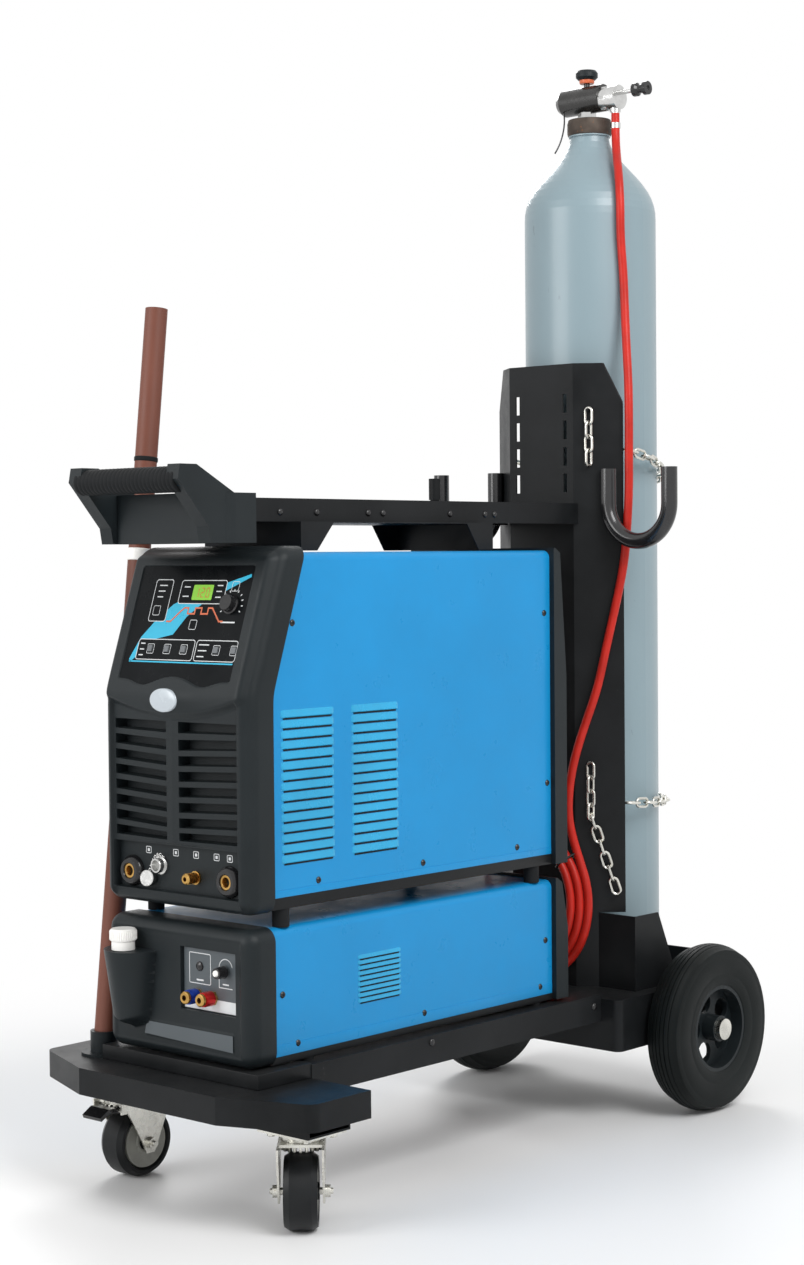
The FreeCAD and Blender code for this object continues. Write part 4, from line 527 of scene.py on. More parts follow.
# %% Louvres on both sides of both cases
def louvre_column(side, y_low, y_high, z_low, z_high, count):
    """x = sheet + 2.6 mm times rise (over one pitch) times fade (a quarter sine to
    the power 0.8 at each end); a flat sheet closes the back."""
    pitch = (z_high - z_low) / count
    y = np.concatenate([[y_low], np.linspace(y_low + 0.0005, y_low + 0.008, 8),
                        np.linspace(y_low + 0.02, y_high - 0.02, 8),
                        np.linspace(y_high - 0.008, y_high - 0.0005, 8), [y_high]])
    share = np.array([0.0, 0.08, 0.14, 0.19, 0.24, 0.34, 0.48, 0.66, 0.84, 0.96])
    rise = np.array([0.0, 0.05, 0.72, 0.97, 1.0, 0.92, 0.72, 0.40, 0.10, 0.0])
    z = np.concatenate([z_low + (k + share) * pitch for k in range(count)] + [[z_high]])
    lift = np.concatenate([rise] * count + [[0.0]])
    ends = np.minimum((y - y_low), (y_high - y)) / 0.006
    fade = np.sin(np.clip(ends, 0, 1) * np.pi / 2) ** 0.8
    x = cover[1][0] - 0.0002 + 0.0026 * fade[:, None] * lift[None, :]
    x[[0, -1]] -= 0.0006
    x[:, [0, -1]] -= 0.0006
    points = np.stack([side * x, np.broadcast_to(y[:, None], x.shape),
                       np.broadcast_to(z[None, :], x.shape)], axis=2)
    v, f = grid(points)
    back = v * np.array([0, 1, 1]) + np.array([side * (cover[1][0] - 0.0009), 0, 0])
    return together([(v, f), (back, f[:, ::-1])])


GROUPS = ((-0.429, -0.323, 0.484, 0.698, 15), (-0.288, -0.189, 0.484, 0.698, 15),
          (-0.279, -0.187, 0.271, 0.341, 9))
# Each louvre also gets a thin black strip along its lower lip: painted shade in the louvre's
# mouth.
columns, shade_strips = [], []
for side in (-1, 1):
    for y_low, y_high, z_low, z_high, count in GROUPS:
        columns.append(louvre_column(side, y_low, y_high, z_low, z_high, count))
        for k in range(count):
            z = z_low + (k + 0.02) * (z_high - z_low) / count
            shade_strips.append(soft_box((side * (cover[1][0] + 0.0003), (y_low + y_high) / 2, z),
                                   (0.0006, (y_high - y_low) / 2 - 0.005, 0.0012), 0.0003, 1))
build("side_louvres", columns, FINISH["louvre_painted_sheen"])
build("louvre_shade_strips", shade_strips, FINISH["rubber_black"])

# %% [markdown]
# ## Screws
# A pan head is a turned dome; its cross recess is shown by two dark bars let into it: painted
# shade in place of a cut recess.

# %% Screws round the sheets
def screw(spot, out, radius=0.0048, height=0.0024):
    """A dome: six (radius, height) pairs turned about the screw's axis."""
    profile = [(0, height), (radius * 0.45, height * 0.97), (radius * 0.8, height * 0.7),
               (radius, height * 0.15), (radius, -0.0006), (0, -0.0006)]
    return lathe(profile, spot, out, 20)


def cross(spot, out, radius=0.0048, height=0.0024):
    """Two thin bars at right angles, just proud of the dome's top."""
    u, v, w = basis(out)
    bars = []
    for a, b in ((u, v), (v, u)):
        box, faces = soft_box((0, 0, 0), (radius * 0.55, radius * 0.12, 0.0003), 0.0001, 1)
        turn = np.stack([a, b, np.cross(a, b)])
        bars.append((box @ turn + np.asarray(spot) + w * (height * 0.99), faces))
    return bars


side_spots = [(-0.404, 0.815), (0.151, 0.815), (0.156, 0.551), (0.081, 0.458),
              (-0.137, 0.457), (-0.357, 0.456), (-0.430, 0.306), (-0.401, 0.235),
              (-0.137, 0.236), (0.135, 0.235), (0.149, 0.306)]
heads, recess_shade_bars = [], []
for side in (-1, 1):
    for y, z in side_spots:
        spot = (side * cover[1][0], min(y, 0.156), z)
        heads.append(screw(spot, (side, 0, 0)))
        recess_shade_bars += cross(spot, (side, 0, 0))
build("side_screws", heads, FINISH["gloss_black"])
# The bars are a dark rough black: painted shade where the cross recess lies.
build("side_screw_recess_shade", recess_shade_bars, FINISH["rubber_black"])

# %% [markdown]
# ## The control panel's print
# The panel leans back, so its print is drawn in the panel's own plane: x across and s
# up the slope, in millimetres. A ribbon is a line given a width; a patch fills the
# space between two lines. Both lie a few tenths of a millimetre above the panel. A
# picture could carry the print, but thin meshes stay sharp close up.

# %% Ribbons and patches on the leaning panel
tilt = math.atan(lean_slope)
up_slope = np.array([0, math.sin(tilt), math.cos(tilt)])
off_panel = np.array([0, -math.cos(tilt), math.sin(tilt)])
panel_foot = np.array([0, face_y + (0.724 - lean_z) * lean_slope, 0.724])
panel_skin = 0.0052
print("panel leans back", round(math.degrees(tilt), 1), "degrees")


def on_panel(points, lift=0.1):
    """foot + x across + s up the slope, lifted along the normal off the panel's skin."""
    p = np.asarray(points, float) / 1000
    return (panel_foot + p[..., 0:1] * np.array([1.0, 0, 0]) + p[..., 1:2] * up_slope
            + off_panel * (panel_skin + lift / 1000))


def ribbon(points, width, closed=False):
    """Left and right edges: each point moved half a width along its mitre."""
    p = np.asarray(points, float)
    if closed:
        p = np.vstack([p, p[:1]])
    legs = np.diff(p, axis=0)
    legs /= np.linalg.norm(legs, axis=1)[:, None]
    before = np.vstack([legs[-1:] if closed else legs[:1], legs])
    after = np.vstack([legs, legs[:1] if closed else legs[-1:]])
    square = lambda d: np.stack([-d[:, 1], d[:, 0]], 1)
    mitre = square(before) + square(after)
    mitre /= np.maximum((mitre * square(after)).sum(axis=1), 0.3)[:, None]
    return np.stack([p + mitre * width / 2, p - mitre * width / 2], axis=1)


def round_rect(x0, y0, x1, y1, r, steps=5):
    """Corner arcs of a rectangle, taken in order round it."""
    t = np.linspace(0, np.pi / 2, steps)
    arcs = []
    for cx, cy, start in ((x1 - r, y1 - r, 0), (x0 + r, y1 - r, 1), (x0 + r, y0 + r, 2),
                          (x1 - r, y0 + r, 3)):
        a = t + start * np.pi / 2
        arcs.append(np.stack([cx + r * np.cos(a), cy + r * np.sin(a)], 1))
    return np.concatenate(arcs)


def fan_patch(outline):
    """A filled outline: quads from its middle to each edge."""
    p = np.vstack([outline, outline[:1]])
    centre = np.repeat(outline.mean(axis=0)[None], len(p), axis=0)
    return np.stack([centre, p], axis=1)


def flat_build(name, grids, place, out, material):
    """Flat prints as one object, every face looking along `out`."""
    shapes = []
    for g in grids:
        v, f = grid(place(g))
        a, b, c = (v[f[:, k]] for k in range(3))
        d = v[f[:, 3]]
        area = np.cross(c - a, d - b).sum(axis=0)
        shapes.append((v, f[:, ::-1] if area @ np.asarray(out) < 0 else f))
    v, f = weld(*together(shapes))
    faces = []
    for row in f.tolist():
        row = [k for i, k in enumerate(row) if k != row[i - 1]]
        if len(row) > 2:
            faces.append(row)
    mesh = bpy.data.meshes.new(name)
    mesh.from_pydata(v.tolist(), [], faces)
    obj = placed(name, mesh)
    mesh.materials.append(material)
    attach(obj, "cart")
    print(name, len(faces), "faces")
    return obj


# %% Print colours
PRINT = {
    "print_white": finish("print_white", (0.66, 0.68, 0.69), 0.35, patch=0.05, grain=0.02),
    "print_cyan": finish("print_cyan", (0.020, 0.430, 0.640), 0.3, patch=0.06, grain=0.02),
    "print_orange": finish("print_orange", (0.62, 0.13, 0.045), 0.35, patch=0.05, grain=0.02),
    "print_grey": finish("print_grey", (0.075, 0.090, 0.100), 0.4, patch=0.05, grain=0.03),
    "lcd_green": finish("lcd_green", (0.25, 0.60, 0.035), 0.25, patch=0.1, grain=0.02),
    "lcd_figure": finish("lcd_figure", (0.50, 0.16, 0.01), 0.3, patch=0.05, grain=0.02),
    "badge_light": finish("badge_light", (0.48, 0.53, 0.57), 0.25, 0.0, patch=0.04, grain=0.02,
                          coat=0.5),
    "blue_sleeve": finish("blue_sleeve", (0.012, 0.055, 0.420), 0.3, 0.6, patch=0.1, grain=0.1),
    "red_sleeve": finish("red_sleeve", (0.520, 0.014, 0.014), 0.3, 0.6, patch=0.1, grain=0.1),
}
print(len(PRINT), "print colours")

# %% Swoosh, frames, waveform and line
s_of = lambda z: (z - 724) / math.cos(tilt)
on_slope = lambda pairs: np.array([[x, s_of(z)] for x, z in pairs])
upper = on_slope(((-101, 762), (-86, 793), (-60, 820), (-34, 839), (8, 855), (64, 869),
                  (108, 881)))
lower = on_slope(((-97, 758), (-58, 790), (-22, 797), (-2, 822), (28, 843), (72, 861),
                  (109, 877)))
fine = np.linspace(0, 6, 49)
curve = lambda c: np.stack([np.interp(fine, range(7), c[:, k]) for k in (0, 1)], 1)
swoosh = np.stack([curve(upper), curve(lower)], axis=1)
flat_build("panel_swoosh", [swoosh, ribbon(on_slope(((-100, 759), (110, 759))), 2.0)],
           on_panel, off_panel, PRINT["print_cyan"])
boxes = [round_rect(x0, s_of(z0), x1, s_of(z1), 4) for x0, z0, x1, z1 in
         ((-80, 815, -45, 873), (-27, 840, 64, 872), (-88, 762, 27, 790), (31, 762, 112, 790))]
plates = [fan_patch(b) for b in boxes]
flat_build("panel_boxes", plates, lambda g: on_panel(g, 0.16), off_panel,
           FINISH["panel_black"])
white = [ribbon(b, 1.1, True) for b in boxes]
for x, z in ((-61, 777), (-27, 777), (7, 777), (72, 777), (107, 777), (-67, 830), (14, 811),
             (82, 864)):
    half = 6.8
    white.append(ribbon(round_rect(x - half, s_of(z) - half, x + half, s_of(z) + half, 2), 0.8,
                        True))
for row in range(3):
    for x0, x1, z in ((-72, -56 - 2 * row, 865), (46, 57, 865), (-83, -74, 784),
                      (36, 56 - 3 * row, 784)):
        white.append(ribbon(on_slope(((x0, z - 8 * row), (x1, z - 8 * row))), 1.6))
for z in (863, 850):
    white.append(ribbon(on_slope(((-20, z), (-8, z))), 1.6))
for k in range(11):
    turn = math.radians(-118 + 23.6 * k)
    mid = np.array([82 + 20.5 * math.sin(turn), s_of(839) + 20.5 * math.cos(turn)])
    ray = np.array([math.sin(turn), math.cos(turn)])
    white.append(ribbon([mid - 1.6 * ray, mid + 1.6 * ray], 1.6))
white.append(ribbon(on_slope(((68, 815), (96, 815))), 2.0))
flat_build("panel_lines", white, lambda g: on_panel(g, 0.22), off_panel,
           PRINT["print_white"])
wave = [[-42, 815], [-33, 815], [-17, 829], [-10, 834], [-2, 834], [-2, 826], [12, 826],
        [12, 834], [25, 834], [25, 826], [38, 826], [38, 834], [46, 834], [64, 816], [72, 816]]
flat_build("panel_wave", [ribbon(on_slope(wave), 2.4)],
           lambda g: on_panel(g, 0.28), off_panel, PRINT["print_orange"])
glass = round_rect(-1, s_of(845), 39, s_of(866), 2)
flat_build("display_glass", [fan_patch(glass)], lambda g: on_panel(g, 0.3), off_panel,
           PRINT["lcd_green"])
DIGITS = {"1": "bc", "2": "abged", "0": "abcdef"}
ENDS = {"a": ((0, 2), (1, 2)), "b": ((1, 2), (1, 1)), "c": ((1, 1), (1, 0)),
        "d": ((0, 0), (1, 0)), "e": ((0, 1), (0, 0)), "f": ((0, 2), (0, 1)),
        "g": ((0, 1), (1, 1))}
bars = []
for place, digit in enumerate("120"):
    for segment in DIGITS[digit]:
        ends = np.array(ENDS[segment], float) * [5.6, 6.6] + [5.5 + 10.5 * place, s_of(849)]
        ends = ends + (ends.mean(axis=0) - ends) * 0.12
        bars.append(ribbon(ends, 1.4))
flat_build("display_figures", bars, lambda g: on_panel(g, 0.36), off_panel,
           PRINT["lcd_figure"])

# %% [markdown]
# ## Badge, sockets and the cooler's plate
# The badge is a plain oval dome. Sockets are turned pieces: a black body, a brass
# sleeve inside it, and a ribbed brass fitting between them. Turning one profile gives
# each its steps and lips at once, as a lathe would.

# %% Badge
theta = np.linspace(0, 2 * np.pi, 65)
share = np.array([0.0, 0.5, 0.8, 0.93, 0.98, 1.0, 1.0])
lift = np.array([0.0034, 0.0031, 0.0024, 0.0016, 0.0009, 0.0, -0.004])
oval = np.stack([-0.008 + 0.027 * share[:, None] * np.cos(theta),
                 np.broadcast_to(face_y - 0.0112 - lift[:, None], (7, 65)),
                 0.709 + 0.0165 * share[:, None] * np.sin(theta)], axis=2)
build("front_badge", [weld(*grid(oval))], PRINT["badge_light"])

# %% Sockets in the recess
tub_y = face_y + RECESS_DEEP
front = (0, -1, 0)
SOCKET_X, SOCKET_Z, GAS_X = 0.098, 0.464, 0.031
bodies, sleeves, silver = [], [], []
for x in (-SOCKET_X, SOCKET_X):
    spot = (x, tub_y, SOCKET_Z)
    bodies.append(lathe([(0.0105, -0.004), (0.0105, 0.0085), (0.0115, 0.0105), (0.0165, 0.0105),
                         (0.0185, 0.009), (0.0215, 0.004), (0.0222, 0.0), (0.0222, -0.004),
                         (0.0105, -0.004)], spot, front, 64))
    sleeves.append(lathe([(0.0066, -0.02), (0.0066, 0.0072), (0.0072, 0.0086), (0.0100, 0.0086),
                          (0.0104, 0.0076), (0.0104, -0.02), (0.0066, -0.02)], spot, front, 48))
spot = (GAS_X, tub_y, SOCKET_Z)
ribs = [(0.0032, 0.0), (0.0032, 0.022), (0.0060, 0.022), (0.0066, 0.0212)]
for k in range(5):
    top = 0.0200 - 0.0034 * k
    ribs += [(0.0078, top), (0.0078, top - 0.0018), (0.0062, top - 0.0022), (0.0062, top - 0.0032)]
ribs += [(0.0095, 0.0028), (0.0095, 0.0), (0.0032, 0.0)]
sleeves.append(lathe(ribs, spot, front, 32))
build("socket_bodies", bodies, FINISH["gloss_black"])
brass = build("socket_brass", sleeves, FINISH["valve_brass"])
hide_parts("welder_sockets")
spot = (-0.039, tub_y, 0.476)
silver.append(lathe([(0.0, 0.002), (0.0078, 0.002), (0.0078, 0.0125), (0.0098, 0.0125),
                     (0.0104, 0.0115), (0.0104, 0.0040), (0.0130, 0.0036), (0.0134, 0.0030),
                     (0.0134, 0.0), (0.0, 0.0)], spot, front, 48))
silver.append(lathe([(0.0, 0.0040), (0.0100, 0.0040), (0.0112, 0.0030), (0.0112, -0.0060),
                     (0.0, -0.0060)], (-0.058, tub_y - 0.010, 0.457), (0.25, -1, 0.1), 32))
t = np.linspace(0, 1, 12)
for k, (x, z) in enumerate(zip(-0.028 - 0.030 * t, 0.488 + 0.014 * t * (1 - t) * 4 - 0.026 * t)):
    a = np.linspace(0, 2 * np.pi, 13)[:-1]
    u, v, w = basis((1, -0.2, 1) if k % 2 else (0.3, -1, 0.2))
    ring = np.array([x, tub_y - 0.008, z]) + 0.0017 * (np.cos(a)[:, None] * u
                                                        + np.sin(a)[:, None] * v)
    silver.append(tube(ring, 0.0005, 6, True))
build("control_socket", silver, FINISH["regulator_metal"])
MARK_X = (-66, -10, 31, 72, 98)
marks = [ribbon(round_rect(x - 5, 491, x + 5, 500, 1.4), 1.0, True) for x in MARK_X]
marks += [fan_patch(round_rect(x - 2.2, 493.4, x + 2.2, 497.6, 0.8)) for x in MARK_X]
in_recess = lambda g: np.stack([g[..., 0] / 1000, 0 * g[..., 0] + tub_y - 0.0002,
                                g[..., 1] / 1000], -1)
flat_build("recess_marks", marks, in_recess, front, PRINT["print_white"])

# %% The cooler's plate, couplings, lamp and lower strip
plate_y = face_y + 0.0072
on_plate = lambda lift: (lambda g: np.stack([g[..., 0] / 1000, 0 * g[..., 0] + plate_y
                                             - lift / 1000, g[..., 1] / 1000], -1))
flat_build("cooler_plate", [fan_patch(round_rect(9, 283, 115, 367, 1))], on_plate(0.1), front,
           PRINT["print_grey"])
flat_build("cooler_band", [fan_patch(round_rect(9.5, 283.5, 114.5, 300, 1))], on_plate(0.2),
           front, PRINT["print_white"])
arch = [[79, 318], [105, 318], [105, 345]]
arch += [[92 + 13 * math.cos(a), 345 + 13 * math.sin(a)] for a in np.linspace(0, np.pi, 15)]
frames = [ribbon(round_rect(20, 319, 62, 361, 2), 1.2, True), ribbon(arch, 1.2, True),
          ribbon([[34, 324], [48, 324]], 2.4), ribbon([[86, 323], [98, 323]], 2.0)]
flat_build("cooler_frames", frames, on_plate(0.25), front, PRINT["print_white"])
lens = lathe([(0, 0.004), (0.004, 0.0036), (0.0062, 0.002), (0.0068, 0.0), (0, 0.0)],
             (0.041, plate_y, 0.343), front, 32)
build("cooler_lamp", [lens], FINISH["gloss_black"])
strip = [[[-62, 256], [112, 256]], [[-66, 238], [112, 233]]]
flat_build("cooler_strip", [np.swapaxes(np.array(strip, float), 0, 1)],
           lambda g: np.stack([g[..., 0] / 1000, 0 * g[..., 0] + face_y - 0.0002,
                               g[..., 1] / 1000], -1), front, PRINT["print_grey"])
noses, rings = [], {}
for x, name in ((0.036, "blue_sleeve"), (0.066, "red_sleeve")):
    spot = (x, plate_y, 0.302)
    noses.append(lathe([(0.0040, 0.0), (0.0040, 0.0262), (0.0074, 0.0262), (0.0088, 0.0250),
                        (0.0088, 0.0212), (0.0070, 0.0204), (0.0070, 0.0), (0.0040, 0.0)],
                       spot, front, 40))
    noses.append(lathe([(0.0072, 0.0), (0.0105, 0.0), (0.0105, 0.0036), (0.0072, 0.0036),
                        (0.0072, 0.0)], spot, front, 6))
    grip = [(0.0071, 0.0036)]
    grip += [(0.0100 + 0.0004 * (k % 2), 0.0040 + 0.0018 * k) for k in range(9)]
    grip += [(0.0098, 0.0202), (0.0071, 0.0204), (0.0071, 0.0036)]
    build(name + "_ring", [lathe(grip, spot, front, 40)], PRINT[name])
nose = build("coupling_brass", noses, FINISH["valve_brass"])
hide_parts("water_couplings")
tip = lathe([(0, 0.0035), (0.003, 0.0033), (0.0042, 0.0022), (0.0045, 0), (0, 0)],
            (0.092, face_y + 0.003 - 0.0144, 0.341), front, 24)
build("fuse_cap_tip", [tip], FINISH["white_plastic"], body="fuse_holder_cap")
cap_low, cap_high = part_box("filler_cap")
middle_x, middle_y = (cap_low[0] + cap_high[0]) / 2, (cap_low[1] + cap_high[1]) / 2
ridge = []
for k in range(36):
    a = 2 * np.pi * k / 36
    spot = (middle_x + 0.0184 * math.cos(a), middle_y + 0.0184 * math.sin(a), cap_high[2] - 0.009)
    ridge.append(soft_box(spot, (0.0009, 0.0009, 0.0062), 0.0006, 2))
build("filler_cap_ribs", ridge, FINISH["white_plastic"], body="tank_cap")

# %% [markdown]
# ## Wheels, casters and handle
# Tyres are turned from a profile with tread grooves cut in it, because grooves show on
# a tyre's outline, where a bump would not. The grip's ribs are a ripple added to a
# cylinder's radius. The casters get what a small forging has: teeth, bolts and discs.

# %% Rear tyres
GROOVES = (-0.62, -0.31, 0.0, 0.31, 0.62)
for name in ("left", "right"):
    low, high = (np.array(c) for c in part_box(name + "_rear_tyre"))
    centre = (low + high) / 2
    half_w, big = (high[0] - low[0]) / 2, (high[2] - low[2]) / 2
    w = np.linspace(-0.92, 0.92, 93)
    crown = big - 0.0045 * np.abs(w) ** 2.2 * 1.6
    groove = sum(np.exp(-((w - g) / 0.03) ** 4) for g in GROOVES)
    tread = np.stack([crown - 0.0028 * groove, w * half_w * 0.80], 1)
    wall_r = np.array([0.127, 0.120, 0.1185, 0.117, 0.105, 0.090, 0.0885, 0.087, 0.078, 0.0715])
    wall_w = np.array([0.93, 0.985, 0.975, 0.99, 1.0, 0.985, 0.965, 0.975, 0.93, 0.88]) * half_w
    ring = np.concatenate([np.stack([wall_r[::-1], -wall_w[::-1]], 1), tread,
                           np.stack([wall_r, wall_w], 1),
                           [[0.0702, wall_w[-1] * 0.97], [0.0702, -wall_w[-1] * 0.97]],
                           [[wall_r[-1], -wall_w[-1]]]])
    tyre = build(name + "_tyre_tread", [lathe(ring, centre, (1, 0, 0), 120)],
                 FINISH["tyre_black"], body=name + "_rear", smooth=50)
    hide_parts(name + "_rear_tyre")

# %% Ribbed grip
low, high = (np.array(c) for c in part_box("handle_grip"))
middle = (low + high) / 2
length = high[0] - low[0]
along = np.linspace(0.0008, length - 0.0008, 361)
radius = (high[2] - low[2]) / 2
ripple = 0.0011 * np.abs(np.sin(np.pi * along / 0.0078)) ** 0.7
profile = np.stack([radius - 0.0012 + ripple, along], 1)
profile = np.vstack([[0, 0], [radius - 0.003, 0], profile, [radius - 0.003, length], [0, length]])
grip = build("grip_ribs", [lathe(profile, (low[0], middle[1], middle[2]), (1, 0, 0), 64)],
             FINISH["rubber_black"], smooth=60)
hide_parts("handle_grip")

# %% Caster details: toothed ring and plate bolts
TEETH, TEETH_RADIUS = 22, 0.0275
bolts = []
for side, name in ((-1, "left"), (1, "right")):
    spot = np.array([side * 0.183, -0.440, 0.1085])
    teeth = []
    for k in range(TEETH):
        a = 2 * np.pi * k / TEETH
        p = spot + TEETH_RADIUS * np.array([math.cos(a), math.sin(a), 0])
        teeth.append(turned(soft_box(p, (0.003, 0.0019, 0.0042), 0.0006, 2),
                            math.degrees(a), (0, 0, 1), p))
    build(name + "_brake_teeth", teeth, FINISH["bright_zinc"],
          body=name + "_fork")
    for dx in (-0.034, 0.034):
        for dy in (-0.025, 0.025):
            bolts.append(lathe([(0, 0.006), (0.0052, 0.006), (0.0062, 0.005), (0.0062, 0),
                                (0, 0)], spot + [dx, dy, 0.0172], (0, 0, -1), 6))
build("caster_bolts", bolts, FINISH["bright_zinc"])

# %% Caster wheel discs and axle ends
for name, spot, axis in (("left", (-0.183, -0.415, 0.052), (1, 0, 0)),
                         ("right", (0.19973, -0.45858, 0.052), (0.7431, 0.6691, 0))):
    axis = np.array(axis)
    discs, ends = [], []
    for sign in (-1, 1):
        discs.append(lathe([(0.0125, 0), (0.0125, 0.0036), (0.0162, 0.0036), (0.0180, 0.0014),
                            (0.0320, 0.0014), (0.0350, 0.0034), (0.0378, 0.0034),
                            (0.0385, 0), (0.0125, 0)],
                           np.array(spot) + sign * 0.0180 * axis, sign * axis, 64))
        ends.append(lathe([(0, 0.004), (0.0030, 0.004), (0.0042, 0.003), (0.0042, -0.001),
                           (0, -0.001)], np.array(spot) + sign * 0.039 * axis, sign * axis, 24))
    build(name + "_wheel_discs", discs, FINISH["wheel_grey"],
          body=name + "_roller")
    build(name + "_axle_ends", ends, FINISH["bright_zinc"], body=name + "_fork")

# %% [markdown]
# ## Screws on the frame, skirts and the rear vents
# The blue sheet laps over the top of each case's lower fold, and the rest of the fold is
# black. Both are thin plates, laid where the CAD case has its flange. A flat black plate
# paints the shade in the gap between deck and cooler, and wire guards close the fan openings.

# %% Frame screws
heads, recess_shade_bars = [], []
for y in (-0.361, -0.287, -0.179, -0.147, 0.004, 0.087, 0.110):
    for side in (-1, 1):
        heads.append(screw((side * 0.075, y, 0.9685), (side, 0, 0), 0.0052, 0.003))
for x, y, z in ((-0.160, -0.145, 0.197), (0.160, -0.145, 0.197), (0.160, 0.245, 0.190),
                (-0.160, 0.245, 0.190)):
    heads.append(screw((x, y, z), (1 if x > 0 else -1, 0, 0), 0.0058, 0.0036))
build("frame_screws", heads, FINISH["gloss_black"])
bright = [screw((side * 0.103, -0.522, 0.981), (0, -1, 0), 0.005, 0.003) for side in (-1, 1)]
build("handle_screws", bright, FINISH["bright_zinc"])

# %% Skirts over the lower flanges: blue above, bare black fold below
middle_y = (cover[0][1] + cover[1][1]) / 2
half_y = (cover[1][1] - cover[0][1]) / 2 - 0.0005


def skirts(name, spans, material):
    """Thin plates on both sides, each between two heights."""
    plates = [soft_box((side * (cover[1][0] + 0.0002), middle_y, (low + high) / 2),
                       (0.0006, half_y, (high - low) / 2), 0.0004, 2)
              for low, high in spans for side in (-1, 1)]
    build(name, plates, material)


skirts("case_skirts", ((0.4395, 0.4493), (0.2215, 0.2373)), FINISH["blue_paint"])
skirts("case_folds", ((0.4236, 0.4393), (0.2116, 0.2213)), FINISH["black_steel"])

# %% A black plate in the gap between deck and cooler: painted shade
gap_shade = soft_box((0, -0.446, 0.1986), (0.159, 0.052, 0.0104), 0.001, 2)
build("cooler_gap_shade", [gap_shade], FINISH["black_steel"])

# %% Fan guards at the back
guards = []
for z, radius in ((0.700, 0.073), (0.305, 0.066)):
    for k in range(6):
        r = 0.014 + (radius - 0.014) * k / 5
        a = np.linspace(0, 2 * np.pi, 65)[:-1]
        circle = np.stack([r * np.cos(a), 0 * a + cover[1][1] + 0.003, z + r * np.sin(a)], 1)
        guards.append(tube(circle, 0.0013, 8, True))
    for k in range(4):
        a = np.pi * (k + 0.5) / 4
        ray = np.array([math.cos(a), 0, math.sin(a)]) * (radius + 0.006)
        mid = np.array([0, cover[1][1] + 0.0012, z])
        guards.append(tube(mid + np.linspace(-1, 1, 9)[:, None] * ray, 0.0014, 8))
build("fan_guards", guards, FINISH["bright_zinc"])

# %% [markdown]
# ## Gas hose
# The hose is one real length: down from the regulator, round and round behind the
# cooler, and up to the welder's gas inlet. A curve with a round bevel keeps its
# thickness everywhere. Its runs down and up go through listed points. Its turns are
# worked out: an oval that shrinks and comes forward evenly, so that each turn lies
# beside the one before.

# %% Hose route
down = np.array([(54, 458, 1637), (54, 458, 1600), (67, 443, 1566), (92.5, 414, 1530),
                 (105.5, 400.5, 1482), (104, 402.5, 1422), (106.5, 407, 1362),
                 (111, 404, 1302), (124, 390, 1242), (138, 376, 1182), (142.5, 370.5, 1122),
                 (142.5, 370, 1062), (142, 370, 1004), (139, 369, 950), (138, 363, 894),
                 (128, 356, 834), (115, 345, 761), (108, 328, 687), (95, 312, 632),
                 (86, 298, 584), (80, 290, 539), (74, 292, 490), (77, 298, 450)]) / 1000
START, WOUND, STEPS = 38, 938, 96
LOOP_Z, LOOP_BACK, LOOP_DRIFT, LOOP_SHRINK = 0.338, 0.302, 0.0235, 0.0290
turns = np.linspace(math.radians(START), math.radians(START - WOUND), STEPS)
swirl = np.linspace(0, 1, STEPS)
wide = 0.109 - LOOP_SHRINK * swirl
tall = 0.124 - LOOP_SHRINK * swirl
loops = np.stack([wide * np.cos(turns), LOOP_BACK - LOOP_DRIFT * swirl,
                  LOOP_Z + tall * np.sin(turns)], 1)
up = np.array([(-82, 280, 375), (-86, 283, 420), (-90, 286, 465), (-93, 288, 505),
               (-95, 287, 541), (-95, 270, 572), (-95, 243, 590), (-95, 222, 590),
               (-95, 206, 590)]) / 1000
route = np.vstack([down, loops[1:], up])
curve_data = bpy.data.curves.new("gas_hose_line", "CURVE")
curve_data.dimensions = "3D"
curve_data.bevel_depth = 0.007
curve_data.bevel_resolution = 5
curve_data.use_fill_caps = True
spline = curve_data.splines.new("NURBS")
spline.points.add(len(route) - 1)
spline.points.foreach_set("co", np.c_[route, np.ones(len(route))].ravel())
spline.order_u = 3
spline.use_endpoint_u = True
spline.resolution_u = 4
hose = placed("gas_hose_line", curve_data)
curve_data.materials.append(FINISH["hose_red"])
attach(hose, "cart")
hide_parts("gas_hose", "gas_hose_coil", "gas_hose_tail")

# %% A strap round the loops, and clamps at both ends
a = np.linspace(0, 2 * np.pi, 25)[:-1]
strap_turn = math.radians(41)
ray = np.array([math.cos(strap_turn), 0, math.sin(strap_turn)])
mid = np.array([0.098 * ray[0], 0.2932, LOOP_Z + 0.113 * ray[2]])
longer = 0.797 * ray + np.array([0, 0.604, 0])
shorter = 0.604 * ray - np.array([0, 0.797, 0])
strap = (mid + 0.0238 * np.cos(a)[:, None] * longer
         + 0.0094 * np.sin(a)[:, None] * shorter)
tie = build("hose_strap", [tube(strap, 0.0018, 8, True)], FINISH["gloss_black"])
band = [(0.0072, 0), (0.0086, 0), (0.0086, 0.009), (0.0072, 0.009), (0.0072, 0)]
clamps = [lathe(band, spot, along, 32) for spot, along in
          (((0.054, 0.458, 1.612), (0, 0, 1)), ((-0.095, 0.212, 0.590), (0, 1, 0)))]
clip = build("hose_clamps", clamps, FINISH["regulator_metal"])

# %% [markdown]
# ## Gas cylinder, rod tube and trims
# A rusty neck ring, a ring and a collar on the rod tube, the free ends of the lower
# chain, and the small parts of the valve. A link is a tube along a stadium, and every
# second link is turned a quarter round the chain.

